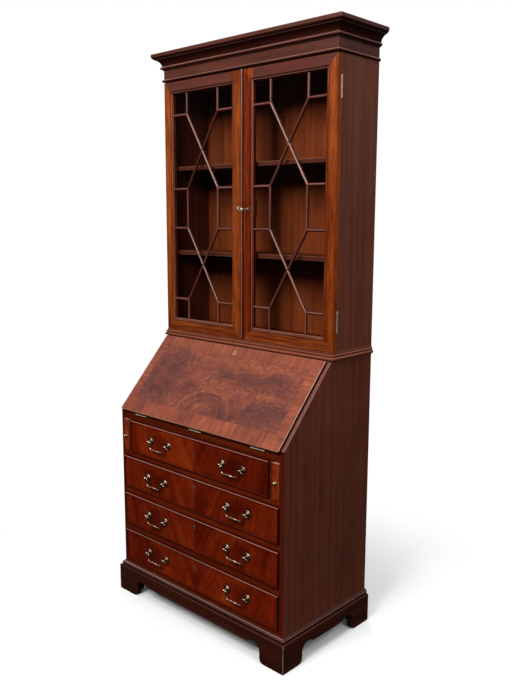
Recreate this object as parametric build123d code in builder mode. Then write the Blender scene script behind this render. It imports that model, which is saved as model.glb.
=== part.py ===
from build123d import *
import os
from math import sin, cos, radians, hypot

os.makedirs("parts", exist_ok=True)

# ---------------------------------------------------------------- dimensions
# Millimetres. X to the right, Y to the back, Z up from the floor.
# Depths are given from the front face of the bureau carcase and moved by
# y_origin, so that the origin lies under the middle of the whole desk.
y_origin = -216.0

# bureau carcase
half_w = 410.0            # half width over the sides
side_t = 17.0             # side board thickness
in_w = half_w - side_t    # half width between the sides
depth = 455.0             # front face to back edge
plinth_out = 16.5         # plinth stands out from the carcase
plinth_t = 20.0
plinth_h = 100.0
plinth_mould_top = 117.0
bureau_top = 984.5
board_t = 18.0
bed_top = 720.0
bed_bottom = 696.2

# fall (slant lid): its pivot line is the front edge of the writing bed
fall_slope = 47.6         # degrees from horizontal when shut
fall_py = 2.5
fall_pz = bed_top
fall_t = 24.5
fall_lip = 13.0           # underside of the lip, from the inner face
fall_len = 344.0
fall_core = 392.3
fall_edge = 397.0
hinge_x = (-297.0, 0.0, 297.0)
fall_hinge_len = 63.0
knuckle_r = 3.2
pin_r = 1.5

# drawers
drawer_h = 119.6
drawer_bottoms = (574.6, 430.4, 282.4, 134.4)
drawer_half = (349.2, 392.2, 392.2, 392.2)
handle_x = (187.0, 208.0, 208.0, 208.0)
lock_drop = (56.0, 27.5, 27.5, 29.5)   # keyhole below the top edge
front_t = 20.0
face_out = 4.5            # veneered face in front of the carcase
bead_w = 4.0
bead_out = 8.0            # cock beads in front of the carcase
box_len = 400.0
box_t = 11.0
handle_pitch = 96.0
post_out = 13.5           # bail pivot in front of the drawer face
bail_drop = 27.0
handle_up = 3.5           # handles stand above mid height
wire_r = 2.4

# lopers
loper_in, loper_out = 364.6, 392.4
loper_z0, loper_z1 = 574.0, 695.1
loper_proud = 5.0

# bookcase
case_w = 409.5
case_t = 18.0
case_in = case_w - case_t
door_face = 235.4         # front of the doors
door_t = 18.0
case_front = 254.0        # front edge of the bookcase sides
case_top = 1950.0
door_z0, door_z1 = 1016.4, 1947.8
door_meet = 7.2           # free edge of the right door
bead_half = 6.7           # meeting bead on the left door
member_w = 45.0
sight_x0, sight_x1 = door_meet + member_w, case_w - member_w
sight_z0, sight_z1 = door_z0 + member_w, door_z1 - member_w
door_hinge_z = (1113.0, 1848.0)
door_hinge_len = 68.0
door_pivot_x, door_pivot_y = 411.0, 253.7
door_knuckle_r = 3.0
door_pin_r = 1.3
lock_x, lock_z = 29.0, 1479.0
shelf_tops = (1322.0, 1640.0)
shelf_t = 14.0
frieze_top = 2040.0
total_h = 2052.0
cornice_out = 35.0


def fy(v):
    return v + y_origin


def save(label, *pieces):
    solids = [s for p in pieces for s in p.solids()]
    node = Compound(solids) if len(solids) > 1 else pieces[0]
    node.label = label
    export_step(node, "parts/" + label + ".step")
    return node


def board(x0, x1, y0, y1, z0, z1, ease=0.0):
    """A plain board between the given limits, its arrises eased by a radius."""
    with BuildPart() as b:
        with Locations(((x0 + x1) / 2, fy((y0 + y1) / 2), (z0 + z1) / 2)):
            Box(abs(x1 - x0), abs(y1 - y0), abs(z1 - z0))
        if ease:
            fillet(b.edges(), ease)
    return b.part


def both_sides(part):
    return [part, mirror(part, about=Plane.YZ, mode=Mode.PRIVATE)]


def prism_x(points, x0, x1):
    """A shape drawn in depth and height, carried from x0 to x1."""
    with BuildPart() as b:
        with BuildSketch(Plane.YZ.offset(x0)) as s:
            with BuildLine():
                Polyline(*[(fy(p), q) for p, q in points], close=True)
            make_face()
        extrude(amount=x1 - x0)
    return b.part


def mitred_runs(profile, hx, y_front, y_back, out, z0, z1):
    """A moulding round the front and both sides, mitred at the front corners."""
    front_plane = Plane(origin=(hx + out, fy(y_front), 0), x_dir=(0, -1, 0), z_dir=(-1, 0, 0))
    side_plane = Plane(origin=(hx, fy(y_back), 0), x_dir=(1, 0, 0), z_dir=(0, -1, 0))
    with BuildPart() as front:
        extrude(profile(front_plane), amount=2 * (hx + out))
        with BuildSketch(Plane.XY.offset(z0 - 1)) as plan:
            with BuildLine():
                Polyline((-hx - out, fy(y_front - out)), (hx + out, fy(y_front - out)),
                         (hx, fy(y_front)), (-hx, fy(y_front)), close=True)
            make_face()
        extrude(amount=z1 - z0 + 2, mode=Mode.INTERSECT)
    with BuildPart() as right:
        extrude(profile(side_plane), amount=y_back - y_front + out)
        with BuildSketch(Plane.XY.offset(z0 - 1)) as plan:
            with BuildLine():
                Polyline((hx, fy(y_front)), (hx + out, fy(y_front - out)),
                         (hx + out, fy(y_back)), (hx, fy(y_back)), close=True)
            make_face()
        extrude(amount=z1 - z0 + 2, mode=Mode.INTERSECT)
    return [front.part] + both_sides(right.part)


def keyhole(plane, r, slot_w, slot_l):
    with BuildSketch(plane) as s:
        Circle(r)
        with Locations((0, -slot_l / 2)):
            Rectangle(slot_w, slot_l)
    return s.sketch


def turned(points, plane):
    """A turned piece: radius and height along the plane's normal, revolved."""
    with BuildPart() as b:
        with BuildSketch(Plane(origin=plane.origin, x_dir=plane.x_dir, z_dir=-plane.y_dir)) as s:
            with BuildLine():
                Polyline(*points, close=True)
            make_face()
        revolve(axis=Axis(plane.origin, plane.z_dir))
    return b.part


# ------------------------------------------------------------- bureau carcase
sin_f, cos_f = sin(radians(fall_slope)), cos(radians(fall_slope))


def on_fall(s, n):
    """Depth and height of a point s up the shut fall and n out from its inner face."""
    return (fall_py + s * cos_f - n * sin_f, fall_pz + s * sin_f + n * cos_f)


edge_n = fall_lip - 0.3
s_front = (edge_n * sin_f - fall_py) / cos_f
s_top = (bureau_top - fall_pz - edge_n * cos_f) / sin_f
slant_low = on_fall(s_front, edge_n)
slant_high = on_fall(s_top, edge_n)

with BuildPart() as bureau_side:
    with BuildSketch(Plane.YZ.offset(in_w)) as s:
        with BuildLine():
            Polyline((fy(0), plinth_h), (fy(0), slant_low[1]), (fy(slant_high[0]), bureau_top),
                     (fy(depth), bureau_top), (fy(depth), plinth_h), close=True)
        make_face()
    extrude(amount=side_t)
    fillet(bureau_side.edges().filter_by(lambda e: abs(e.center().X - half_w) < 0.1
                                         and e.center().Z < bureau_top - 1
                                         and e.center().Z > plinth_h + 1), 1.2)
save("bureau_sides", *both_sides(bureau_side.part))

top_front = on_fall(345.0, (bureau_top - fall_pz - 345.0 * sin_f) / cos_f)
under_n = (bureau_top - board_t - fall_pz - 345.0 * sin_f) / cos_f
top_under = on_fall(345.0, under_n)
bureau_top_board = prism_x([(top_front[0], bureau_top), (depth - 12, bureau_top),
                            (depth - 12, bureau_top - board_t), (top_under[0], bureau_top - board_t)],
                           -in_w, in_w)
bureau_bottom = board(-in_w, in_w, 0, depth - 12, plinth_h, plinth_h + board_t)
save("bureau_top_and_bottom", bureau_top_board, bureau_bottom)

back_low = board(-in_w, in_w, depth - 12, depth - 2, plinth_h, bureau_top)
back_high = board(-case_in, case_in, depth - 10, depth - 2, bureau_top, case_top)
save("back_panels", back_low, back_high)

# writing bed, let in for the three fall hinges
with BuildPart() as writing_bed:
    with Locations((0, fy((fall_py + 0.8 + depth - 12) / 2), (bed_top + bed_bottom) / 2)):
        Box(2 * in_w, depth - 12 - fall_py - 0.8, bed_top - bed_bottom)
    for hx in hinge_x:
        with Locations((hx, fy(fall_py + 17), bed_top - 1)):
            Box(fall_hinge_len + 0.6, 34.4, 2.0, mode=Mode.SUBTRACT)
        with Locations(Location((hx, fy(fall_py), fall_pz), (0, 90, 0))):
            Cylinder(knuckle_r + 0.4, fall_hinge_len + 0.6, mode=Mode.SUBTRACT)
save("writing_bed", writing_bed.part)

rails = []
for top in (drawer_bottoms[0], drawer_bottoms[1], drawer_bottoms[2], drawer_bottoms[3]):
    i = drawer_bottoms.index(top)
    under = drawer_bottoms[i + 1] + drawer_h + 0.9 if i < 3 else plinth_h + board_t
    rails.append(board(-in_w, in_w, 0, 70, under, top - 0.9))
# loper partitions, their front top corner cut away under the opened fall
notch = bed_top - fall_t - 1.0
partition = prism_x([(0, drawer_bottoms[0] - 0.9), (0, notch), (fall_py + 0.8, notch), (fall_py + 0.8, bed_bottom),
                     (depth - 12, bed_bottom), (depth - 12, drawer_bottoms[0] - 0.9)],
                    drawer_half[0] + 0.8, loper_in - 0.6)
save("drawer_rails_and_partitions", *rails, *both_sides(partition))

runners = []
for i, b in enumerate(drawer_bottoms):
    inner = 322.0 if i == 0 else 364.0
    low = b - 0.9 - (20.0 if i < 3 else b - 0.9 - plinth_h - board_t)
    runners += both_sides(board(inner, in_w, 70, depth - 12, low, b - 0.9))
save("drawer_runners", *runners)

# --------------------------------------------------------- plinth and moulding
foot = {"floor": 88.0, "wide": 103.5, "peak": 134.0, "cusp": 161.5}
rise = {"toe": 18.0, "ankle": 42.0, "peak": 66.0, "edge": 56.0}


def bracket_outline(a0, a1, inset):
    """Front elevation of a bracket-footed board from a0 to a1."""
    f, w, p, c = (foot[k] - inset for k in ("floor", "wide", "peak", "cusp"))
    with BuildLine() as ln:
        Line((a0, 0), (a0 + f, 0))
        ThreePointArc((a0 + f, 0), (a0 + w - 4.2, 6.0), (a0 + w, rise["toe"]))
        Line((a0 + w, rise["toe"]), (a0 + w, rise["ankle"]))
        ThreePointArc((a0 + w, rise["ankle"]), (a0 + w + 8.5, 58.0), (a0 + p, rise["peak"]))
        ThreePointArc((a0 + p, rise["peak"]), (a0 + p + 15.5, 63.4), (a0 + c, rise["edge"]))
        Line((a0 + c, rise["edge"]), (a1 - c, rise["edge"]))
        ThreePointArc((a1 - c, rise["edge"]), (a1 - p - 15.5, 63.4), (a1 - p, rise["peak"]))
        ThreePointArc((a1 - p, rise["peak"]), (a1 - w - 8.5, 58.0), (a1 - w, rise["ankle"]))
        Line((a1 - w, rise["ankle"]), (a1 - w, rise["toe"]))
        ThreePointArc((a1 - w, rise["toe"]), (a1 - w + 4.2, 6.0), (a1 - f, 0))
        Polyline((a1 - f, 0), (a1, 0), (a1, plinth_h), (a0, plinth_h), (a0, 0))
    return ln.line


px = half_w + plinth_out
pi = px - plinth_t
with BuildPart() as plinth_front:
    with BuildSketch(Plane.XZ.offset(-fy(plinth_t - plinth_out))) as s:
        add(bracket_outline(-px, px, 0))
        make_face()
    extrude(amount=plinth_t)
    with BuildSketch(Plane.XY.offset(-1)) as plan:
        with BuildLine():
            Polyline((-px, fy(-plinth_out)), (px, fy(-plinth_out)),
                     (pi, fy(plinth_t - plinth_out)), (-pi, fy(plinth_t - plinth_out)), close=True)
        make_face()
    extrude(amount=plinth_h + 2, mode=Mode.INTERSECT)
    fillet(plinth_front.edges().filter_by(Axis.X).group_by(Axis.Z)[-1].sort_by(Axis.Y)[0], 4.0)
with BuildPart() as plinth_side:
    with BuildSketch(Plane.YZ.offset(pi)) as s:
        add(bracket_outline(fy(-plinth_out), fy(depth), 7.0))
        make_face()
    extrude(amount=plinth_t)
    with BuildSketch(Plane.XY.offset(-1)) as plan:
        with BuildLine():
            Polyline((pi, fy(plinth_t - plinth_out)), (px, fy(-plinth_out)),
                     (px, fy(depth)), (pi, fy(depth)), close=True)
        make_face()
    extrude(amount=plinth_h + 2, mode=Mode.INTERSECT)
    fillet(plinth_side.edges().filter_by(Axis.Y).group_by(Axis.Z)[-1].sort_by(Axis.X)[-1], 4.0)
with BuildPart() as plinth_rear:
    with BuildSketch(Plane.XZ.offset(-fy(depth))) as s:
        with BuildLine():
            Polyline((-pi, 0), (-pi + 70, 0), (-pi + 110, 56), (pi - 110, 56), (pi - 70, 0),
                     (pi, 0), (pi, plinth_h), (-pi, plinth_h), close=True)
        make_face()
    extrude(amount=18)
blocks = []
for y0 in (plinth_t - plinth_out, depth - 18 - 40):
    blocks += both_sides(board(pi - 40, pi, y0, y0 + 40, 4, plinth_h))
# backing behind the front feet, up to their inner edges
with BuildPart() as foot_backing:
    with BuildSketch(Plane.XZ.offset(-fy(plinth_t - plinth_out + 18))) as s:
        with BuildLine():
            Polyline((pi - 40, 4), (340, 4), (326, 18), (326, plinth_h), (pi - 40, plinth_h), close=True)
        make_face()
    extrude(amount=18)
blocks += both_sides(foot_backing.part)
save("bracket_plinth", plinth_front.part, *both_sides(plinth_side.part), plinth_rear.part, *blocks)


def plinth_profile(plane):
    with BuildSketch(plane) as s:
        with BuildLine():
            Polyline((8.4, plinth_h), (0, plinth_h), (0, plinth_mould_top), (2.4, plinth_mould_top), (2.4, 115.2))
            ThreePointArc((2.4, 115.2), (7.0, 113.3), (8.6, 109.4))
            Polyline((8.6, 109.4), (10.6, 109.4), (10.6, 106.6))
            ThreePointArc((10.6, 106.6), (8.9, 105.0), (8.4, 102.4))
            Line((8.4, 102.4), (8.4, plinth_h))
        make_face()
    return s.sketch


save("plinth_moulding", *mitred_runs(plinth_profile, half_w, 0, depth, 10.8, plinth_h, plinth_mould_top))


def waist_profile(plane):
    z = bureau_top
    with BuildSketch(plane) as s:
        with BuildLine():
            Polyline((0, z + 30.6), (0, z), (1.6, z), (1.6, z + 3.4), (4.6, z + 4.0))
            ThreePointArc((4.6, z + 4.0), (8.7, z + 10.0), (4.6, z + 16.0))
            Polyline((4.6, z + 16.0), (3.4, z + 16.4), (3.4, z + 18.0))
            ThreePointArc((3.4, z + 18.0), (5.6, z + 20.8), (3.4, z + 23.6))
            Polyline((3.4, z + 23.6), (1.2, z + 24.4), (1.2, z + 30.6), (0, z + 30.6))
        make_face()
    return s.sketch


save("waist_moulding", *mitred_runs(waist_profile, case_w, door_face, depth, 8.8, bureau_top, bureau_top + 30.6))

# ------------------------------------------------------------- bookcase carcase
with BuildPart() as bookcase_side:
    with Locations(((case_in + case_w) / 2, fy((case_front + depth) / 2), (bureau_top + case_top) / 2)):
        Box(case_t, depth - case_front, case_top - bureau_top)
    for hz in door_hinge_z:
        with Locations((case_w - 11.4, fy(case_front + 0.65), hz)):
            Box(24.0, 1.3, door_hinge_len + 0.6, mode=Mode.SUBTRACT)
        with Locations((door_pivot_x, fy(door_pivot_y), hz)):
            Cylinder(door_knuckle_r + 0.4, door_hinge_len + 8.0, mode=Mode.SUBTRACT)
    for zt in shelf_tops:
        for yp in (300.0, 410.0):
            with Locations(Location((case_in + 5, fy(yp), zt - shelf_t - 2.5), (0, 90, 0))):
                Cylinder(2.5, 10.0, mode=Mode.SUBTRACT)
save("bookcase_sides", *both_sides(bookcase_side.part))

save("bookcase_boards",
     board(-case_in, case_in, case_front, depth - 10, case_top - board_t, case_top),
     board(-case_in, case_in, case_front, depth - 10, 1012, 1012 + board_t),
     board(-case_w, case_w, door_face, case_front, bureau_top, bureau_top + 30.6))

shelves = []
for zt in shelf_tops:
    shelves.append(board(-case_in + 0.7, case_in - 0.7, 266, depth - 11, zt - shelf_t, zt, 1.0))
save("bookcase_shelves", *shelves)

pegs = []
for zt in shelf_tops:
    for yp in (300.0, 410.0):
        with BuildPart() as peg:
            with Locations(Location((case_in + 1.0, fy(yp), zt - shelf_t - 2.5), (0, 90, 0))):
                Cylinder(2.5, 18.0)
            with Locations(Location((case_in - 0.6, fy(yp), zt - shelf_t - 2.5), (0, 90, 0))):
                Cylinder(2.5, 1.2)
        pegs += both_sides(peg.part)
save("shelf_pegs", *pegs)

# --------------------------------------------------------- frieze and cornice
with BuildPart() as frieze_front:
    with BuildSketch(Plane.XY.offset(case_top)) as plan:
        with BuildLine():
            Polyline((-case_w, fy(door_face)), (case_w, fy(door_face)),
                     (case_in, fy(door_face + case_t)), (-case_in, fy(door_face + case_t)), close=True)
        make_face()
    extrude(amount=frieze_top - case_top)
with BuildPart() as frieze_side:
    with BuildSketch(Plane.XY.offset(case_top)) as plan:
        with BuildLine():
            Polyline((case_in, fy(door_face + case_t)), (case_w, fy(door_face)),
                     (case_w, fy(depth)), (case_in, fy(depth)), close=True)
        make_face()
    extrude(amount=frieze_top - case_top)
frieze_rear = board(-case_in, case_in, depth - 18, depth, case_top, frieze_top - 8)


def frieze_bead_profile(plane):
    with BuildSketch(plane) as s:
        with BuildLine():
            Polyline((0, case_top + 11.6), (0, case_top + 0.4), (1.0, case_top + 0.4))
            ThreePointArc((1.0, case_top + 0.4), (5.8, case_top + 6.0), (1.0, case_top + 11.6))
            Line((1.0, case_top + 11.6), (0, case_top + 11.6))
        make_face()
    return s.sketch


frieze_bead = mitred_runs(frieze_bead_profile, case_w, door_face, depth, 6.0, case_top, case_top + 12)
save("frieze", frieze_front.part, *both_sides(frieze_side.part), frieze_rear, *frieze_bead)


def cornice_profile(plane):
    with BuildSketch(plane) as s:
        with BuildLine():
            Polyline((0, total_h), (0, 1994.0), (3.6, 1994.0), (3.6, 1996.4))
            ThreePointArc((3.6, 1996.4), (10.6, 2002.2), (3.6, 2008.0))
            Line((3.6, 2008.0), (5.6, 2009.6))
            ThreePointArc((5.6, 2009.6), (11.4, 2022.4), (23.0, 2031.0))
            Polyline((23.0, 2031.0), (26.4, 2031.0), (26.4, 2033.6))
            ThreePointArc((26.4, 2033.6), (31.0, 2035.4), (32.8, 2039.6))
            Polyline((32.8, 2039.6), (cornice_out, 2039.6), (cornice_out, total_h - 1.0),
                     (cornice_out - 1.0, total_h), (0, total_h))
        make_face()
    return s.sketch


save("cornice_moulding", *mitred_runs(cornice_profile, case_w, door_face, depth, cornice_out + 0.5, 1994, total_h))
save("cornice_top_board", board(-case_in, case_in, door_face + case_t, depth, frieze_top - 8, frieze_top))

# ------------------------------------------------------------ door hinge leaves
case_leaves, door_leaves_right = [], []
seg = door_hinge_len / 3
for hz in door_hinge_z:
    with BuildPart() as case_leaf:
        with Locations((door_pivot_x, fy(door_pivot_y), hz - seg), (door_pivot_x, fy(door_pivot_y), hz + seg)):
            Cylinder(door_knuckle_r, seg - 0.3)
        with Locations((door_pivot_x - 12.5, fy(case_front + 0.55), hz)):
            Box(19.0, 1.2, door_hinge_len)
        with Locations((door_pivot_x - 2.5, fy(case_front + 0.55), hz - seg), (door_pivot_x - 2.5, fy(case_front + 0.55), hz + seg)):
            Box(5.0, 1.2, seg - 0.3)
        with Locations((door_pivot_x, fy(door_pivot_y), hz)):
            Cylinder(door_pin_r, door_hinge_len - 1.0)
        for k in (-1, 1):
            with Locations((door_pivot_x, fy(door_pivot_y), hz + k * (door_hinge_len / 2 + 0.7))):
                Sphere(door_knuckle_r - 0.5)
    case_leaves += both_sides(case_leaf.part)
    with BuildPart() as door_leaf:
        with Locations((door_pivot_x, fy(door_pivot_y), hz)):
            Cylinder(door_knuckle_r, seg - 0.3)
        with Locations((door_pivot_x - 12.5, fy(door_face + door_t - 0.55), hz)):
            Box(19.0, 1.2, door_hinge_len)
        with Locations((door_pivot_x - 2.5, fy(door_face + door_t - 0.55), hz)):
            Box(5.0, 1.2, seg - 0.3)
        with Locations((door_pivot_x, fy(door_pivot_y), hz)):
            Cylinder(door_pin_r + 0.05, seg + 1, mode=Mode.SUBTRACT)
    door_leaves_right.append(door_leaf.part)
save("door_hinge_case_leaves", *case_leaves)
save("door_right_hinge_leaves", *door_leaves_right)
save("door_left_hinge_leaves", *[mirror(p, about=Plane.YZ, mode=Mode.PRIVATE) for p in door_leaves_right])

# ------------------------------------------------------------------------ doors


def door_member_profile(plane):
    """Section of a door member: flat face, quirk and bead at the glass, rebate behind."""
    with BuildSketch(plane) as s:
        with BuildLine():
            Polyline((1.0, 0), (33.6, 0), (34.2, 2.4))
            ThreePointArc((34.2, 2.4), (38.6, 0.3), (43.2, 3.0))
            Polyline((43.2, 3.0), (member_w, 4.6), (member_w, 9.0), (37.0, 9.0), (37.0, door_t),
                     (0, door_t), (0, 1.0))
            ThreePointArc((0, 1.0), (0.29, 0.29), (1.0, 0))
        make_face()
    return s.sketch


def door_members(x0, x1, z0, z1):
    w = member_w
    yd = fy(door_face)
    runs = {
        "bottom": (Plane(origin=(x1, yd, z0), x_dir=(0, 0, 1), z_dir=(-1, 0, 0)), x1 - x0,
                   [(x0, z0), (x1, z0), (x1 - w, z0 + w), (x0 + w, z0 + w)]),
        "top": (Plane(origin=(x0, yd, z1), x_dir=(0, 0, -1), z_dir=(1, 0, 0)), x1 - x0,
                [(x0, z1), (x1, z1), (x1 - w, z1 - w), (x0 + w, z1 - w)]),
        "left": (Plane(origin=(x0, yd, z0), x_dir=(1, 0, 0), z_dir=(0, 0, 1)), z1 - z0,
                 [(x0, z0), (x0, z1), (x0 + w, z1 - w), (x0 + w, z0 + w)]),
        "right": (Plane(origin=(x1, yd, z1), x_dir=(-1, 0, 0), z_dir=(0, 0, -1)), z1 - z0,
                  [(x1, z0), (x1, z1), (x1 - w, z1 - w), (x1 - w, z0 + w)]),
    }
    out = {}
    for name, (plane, length, face) in runs.items():
        with BuildPart() as m:
            extrude(door_member_profile(plane), amount=length)
            with BuildSketch(Plane.XZ.offset(-(yd + door_t + 1))) as s:
                with BuildLine():
                    Polyline(*face, close=True)
                make_face()
            extrude(amount=door_t + 2, mode=Mode.INTERSECT)
        out[name] = m.part
    return out


right_members = door_members(door_meet, case_w, door_z0, door_z1)
with BuildPart() as hinge_stile:
    add(right_members["right"])
    for hz in door_hinge_z:
        with Locations((case_w - 11.4, fy(door_face + door_t - 0.65), hz)):
            Box(24.0, 1.3, door_hinge_len + 0.6, mode=Mode.SUBTRACT)
        with Locations((door_pivot_x, fy(door_pivot_y), hz)):
            Cylinder(door_knuckle_r + 0.4, door_hinge_len + 8.0, mode=Mode.SUBTRACT)
with BuildPart() as lock_stile:
    add(right_members["left"])
    with Locations(Location((lock_x, fy(door_face + door_t / 2), lock_z), (90, 0, 0))):
        Cylinder(2.8, door_t + 4, mode=Mode.SUBTRACT)
# beads that hold the pane in its rebate
gx0, gx1, gz0, gz1 = door_meet + 37.2, case_w - 37.2, door_z0 + 37.2, door_z1 - 37.2
gy0, gy1 = door_face + 12.2, door_face + 17.0
glass_beads = [board(gx0, gx1, gy0, gy1, gz0, gz0 + 6.5), board(gx0, gx1, gy0, gy1, gz1 - 6.5, gz1),
               board(gx0, gx0 + 6.5, gy0, gy1, gz0 + 6.5, gz1 - 6.5), board(gx1 - 6.5, gx1, gy0, gy1, gz0 + 6.5, gz1 - 6.5)]
save("door_right_frame", right_members["bottom"], right_members["top"], hinge_stile.part, lock_stile.part, *glass_beads)

# the left door carries the meeting bead on its closing edge
meeting_stile = mirror(right_members["left"], about=Plane.YZ, mode=Mode.PRIVATE)
with BuildPart() as meeting_bead:
    with BuildSketch(Plane.XY.offset(door_z0)) as s:
        with BuildLine():
            Polyline((-door_meet, fy(door_face + door_t)), (-door_meet, fy(door_face - 0.6)), (-bead_half + 0.4, fy(door_face - 1.2)))
            ThreePointArc((-bead_half + 0.4, fy(door_face - 1.2)), (0, fy(door_face - 5.0)), (bead_half - 0.4, fy(door_face - 1.2)))
            Polyline((bead_half - 0.4, fy(door_face - 1.2)), (bead_half, fy(door_face - 0.6)), (bead_half, fy(door_face + door_t)),
                     (-door_meet, fy(door_face + door_t)))
        make_face()
    extrude(amount=door_z1 - door_z0)
save("door_left_frame",
     *[mirror(right_members[k], about=Plane.YZ, mode=Mode.PRIVATE) for k in ("bottom", "top")],
     mirror(hinge_stile.part, about=Plane.YZ, mode=Mode.PRIVATE), meeting_stile, meeting_bead.part,
     *[mirror(g, about=Plane.YZ, mode=Mode.PRIVATE) for g in glass_beads])

# glazing bars: two saltires joined by an upright lozenge, planted on the pane
bar_in = 75.0
bar_l, bar_r = sight_x0 + bar_in, sight_x1 - bar_in
bar_c = (sight_x0 + sight_x1) / 2
mid_z = (sight_z0 + sight_z1) / 2
node_hi, cross_hi, node_mid = mid_z + 344.0, mid_z + 210.5, mid_z + 73.0
node_lo, cross_lo, node_mlo = mid_z - 344.0, mid_z - 210.5, mid_z - 73.0
lines = [
    ((bar_l, sight_z1), (bar_l, node_hi), 0, 3), ((bar_r, sight_z1), (bar_r, node_hi), 0, 3),
    ((sight_x0, node_hi), (bar_l, node_hi), 0, 3), ((bar_r, node_hi), (sight_x1, node_hi), 3, 0),
    ((bar_l, node_hi), (bar_r, node_mid), 3, 3), ((bar_r, node_hi), (bar_l, node_mid), 3, 3),
    ((sight_x0, node_mid), (bar_l, node_mid), 0, 3), ((bar_r, node_mid), (sight_x1, node_mid), 3, 0),
    ((bar_l, node_mid), (bar_l, node_mlo), 3, 3), ((bar_r, node_mid), (bar_r, node_mlo), 3, 3),
    ((sight_x0, node_mlo), (bar_l, node_mlo), 0, 3), ((bar_r, node_mlo), (sight_x1, node_mlo), 3, 0),
    ((bar_l, node_mlo), (bar_r, node_lo), 3, 3), ((bar_r, node_mlo), (bar_l, node_lo), 3, 3),
    ((sight_x0, node_lo), (bar_l, node_lo), 0, 3), ((bar_r, node_lo), (sight_x1, node_lo), 3, 0),
    ((bar_l, node_lo), (bar_l, sight_z0), 3, 0), ((bar_r, node_lo), (bar_r, sight_z0), 3, 0),
]


def bar_profile(plane):
    with BuildSketch(plane) as s:
        with BuildLine():
            Polyline((-3.9, 5.6), (-5.5, 6.4), (-5.5, 9.0), (5.5, 9.0), (5.5, 6.4), (3.9, 5.6))
            ThreePointArc((3.9, 5.6), (0, 2.2), (-3.9, 5.6))
        make_face()
    return s.sketch


with BuildPart() as bars_right:
    for (ax, az), (bx, bz), e0, e1 in lines:
        length = hypot(bx - ax, bz - az)
        tx, tz = (bx - ax) / length, (bz - az) / length
        run = Plane(origin=(ax - e0 * tx, fy(door_face), az - e0 * tz), x_dir=(tz, 0, -tx), z_dir=(tx, 0, tz))
        extrude(bar_profile(run), amount=length + e0 + e1)
save("door_right_glazing_bars", bars_right.part)
save("door_left_glazing_bars", mirror(bars_right.part, about=Plane.YZ, mode=Mode.PRIVATE))

pane_right = board(door_meet + 38, case_w - 38, door_face + 9.05, door_face + 12.05, door_z0 + 38, door_z1 - 38)
save("door_right_glass", pane_right)
save("door_left_glass", mirror(pane_right, about=Plane.YZ, mode=Mode.PRIVATE))

# lock on the right door: case behind the stile, escutcheon in front
case_y0, case_y1 = door_face + door_t, door_face + door_t + 9.0
with BuildPart() as lock_case:
    with Locations((lock_x, fy((case_y0 + case_y1) / 2), lock_z)):
        Box(36.0, 9.0, 52.0)
        Box(33.0, 6.0, 49.0, mode=Mode.SUBTRACT)
    with Locations((lock_x - 17.2, fy(case_y0 + 5.9), lock_z + 14)):
        Box(3.0, 3.2, 12.8, mode=Mode.SUBTRACT)
    with Locations(Location((lock_x, fy(case_y0 + 1.0), lock_z), (90, 0, 0))):
        Cylinder(2.8, 4.0, mode=Mode.SUBTRACT)
with BuildPart() as door_plate:
    with BuildSketch(Plane.XZ.offset(-fy(door_face))) as s:
        with Locations((lock_x, lock_z - 3)):
            SlotOverall(24.0, 12.0, rotation=90)
        with Locations((lock_x, lock_z)):
            Circle(2.8, mode=Mode.SUBTRACT)
        with Locations((lock_x, lock_z - 5)):
            Rectangle(2.6, 9.0, mode=Mode.SUBTRACT)
    extrude(amount=1.0)
    fillet(door_plate.faces().sort_by(Axis.Y)[0].outer_wire().edges(), 0.5)
save("door_lock", lock_case.part, door_plate.part)

with BuildPart() as lock_bolt:
    with Locations((lock_x - 17.6 + 12.5, fy(case_y0 + 5.9), lock_z + 14)):
        Box(25.0, 2.6, 12.2)
save("door_lock_bolt", lock_bolt.part)

bow_y = door_face - 43.0
with BuildPart() as door_key:
    with Locations(Location((lock_x, fy((bow_y + 9 + case_y0 + 3.9) / 2), lock_z), (90, 0, 0))):
        Cylinder(2.0, case_y0 + 3.9 - bow_y - 9)
    with Locations(Location((lock_x, fy(door_face - 4.5), lock_z), (90, 0, 0)),
                   Location((lock_x, fy(bow_y + 12.5), lock_z), (90, 0, 0))):
        Cylinder(3.3, 2.4)
    with Locations((lock_x, fy(case_y0 + 2.8), lock_z - 5.0)):
        Box(2.0, 2.0, 8.0)
    # bow, leaning to the left about the shank
    with BuildSketch(Plane.YZ.offset(lock_x - 1.7)) as s:
        with Locations((fy(bow_y), lock_z)):
            Ellipse(9.6, 11.6)
            Ellipse(5.4, 7.2, mode=Mode.SUBTRACT)
    bow = extrude(amount=3.4, mode=Mode.PRIVATE)
    add(bow.rotate(Axis((lock_x, 0, lock_z), (0, 1, 0)), -40))
save("door_key", door_key.part)

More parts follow.
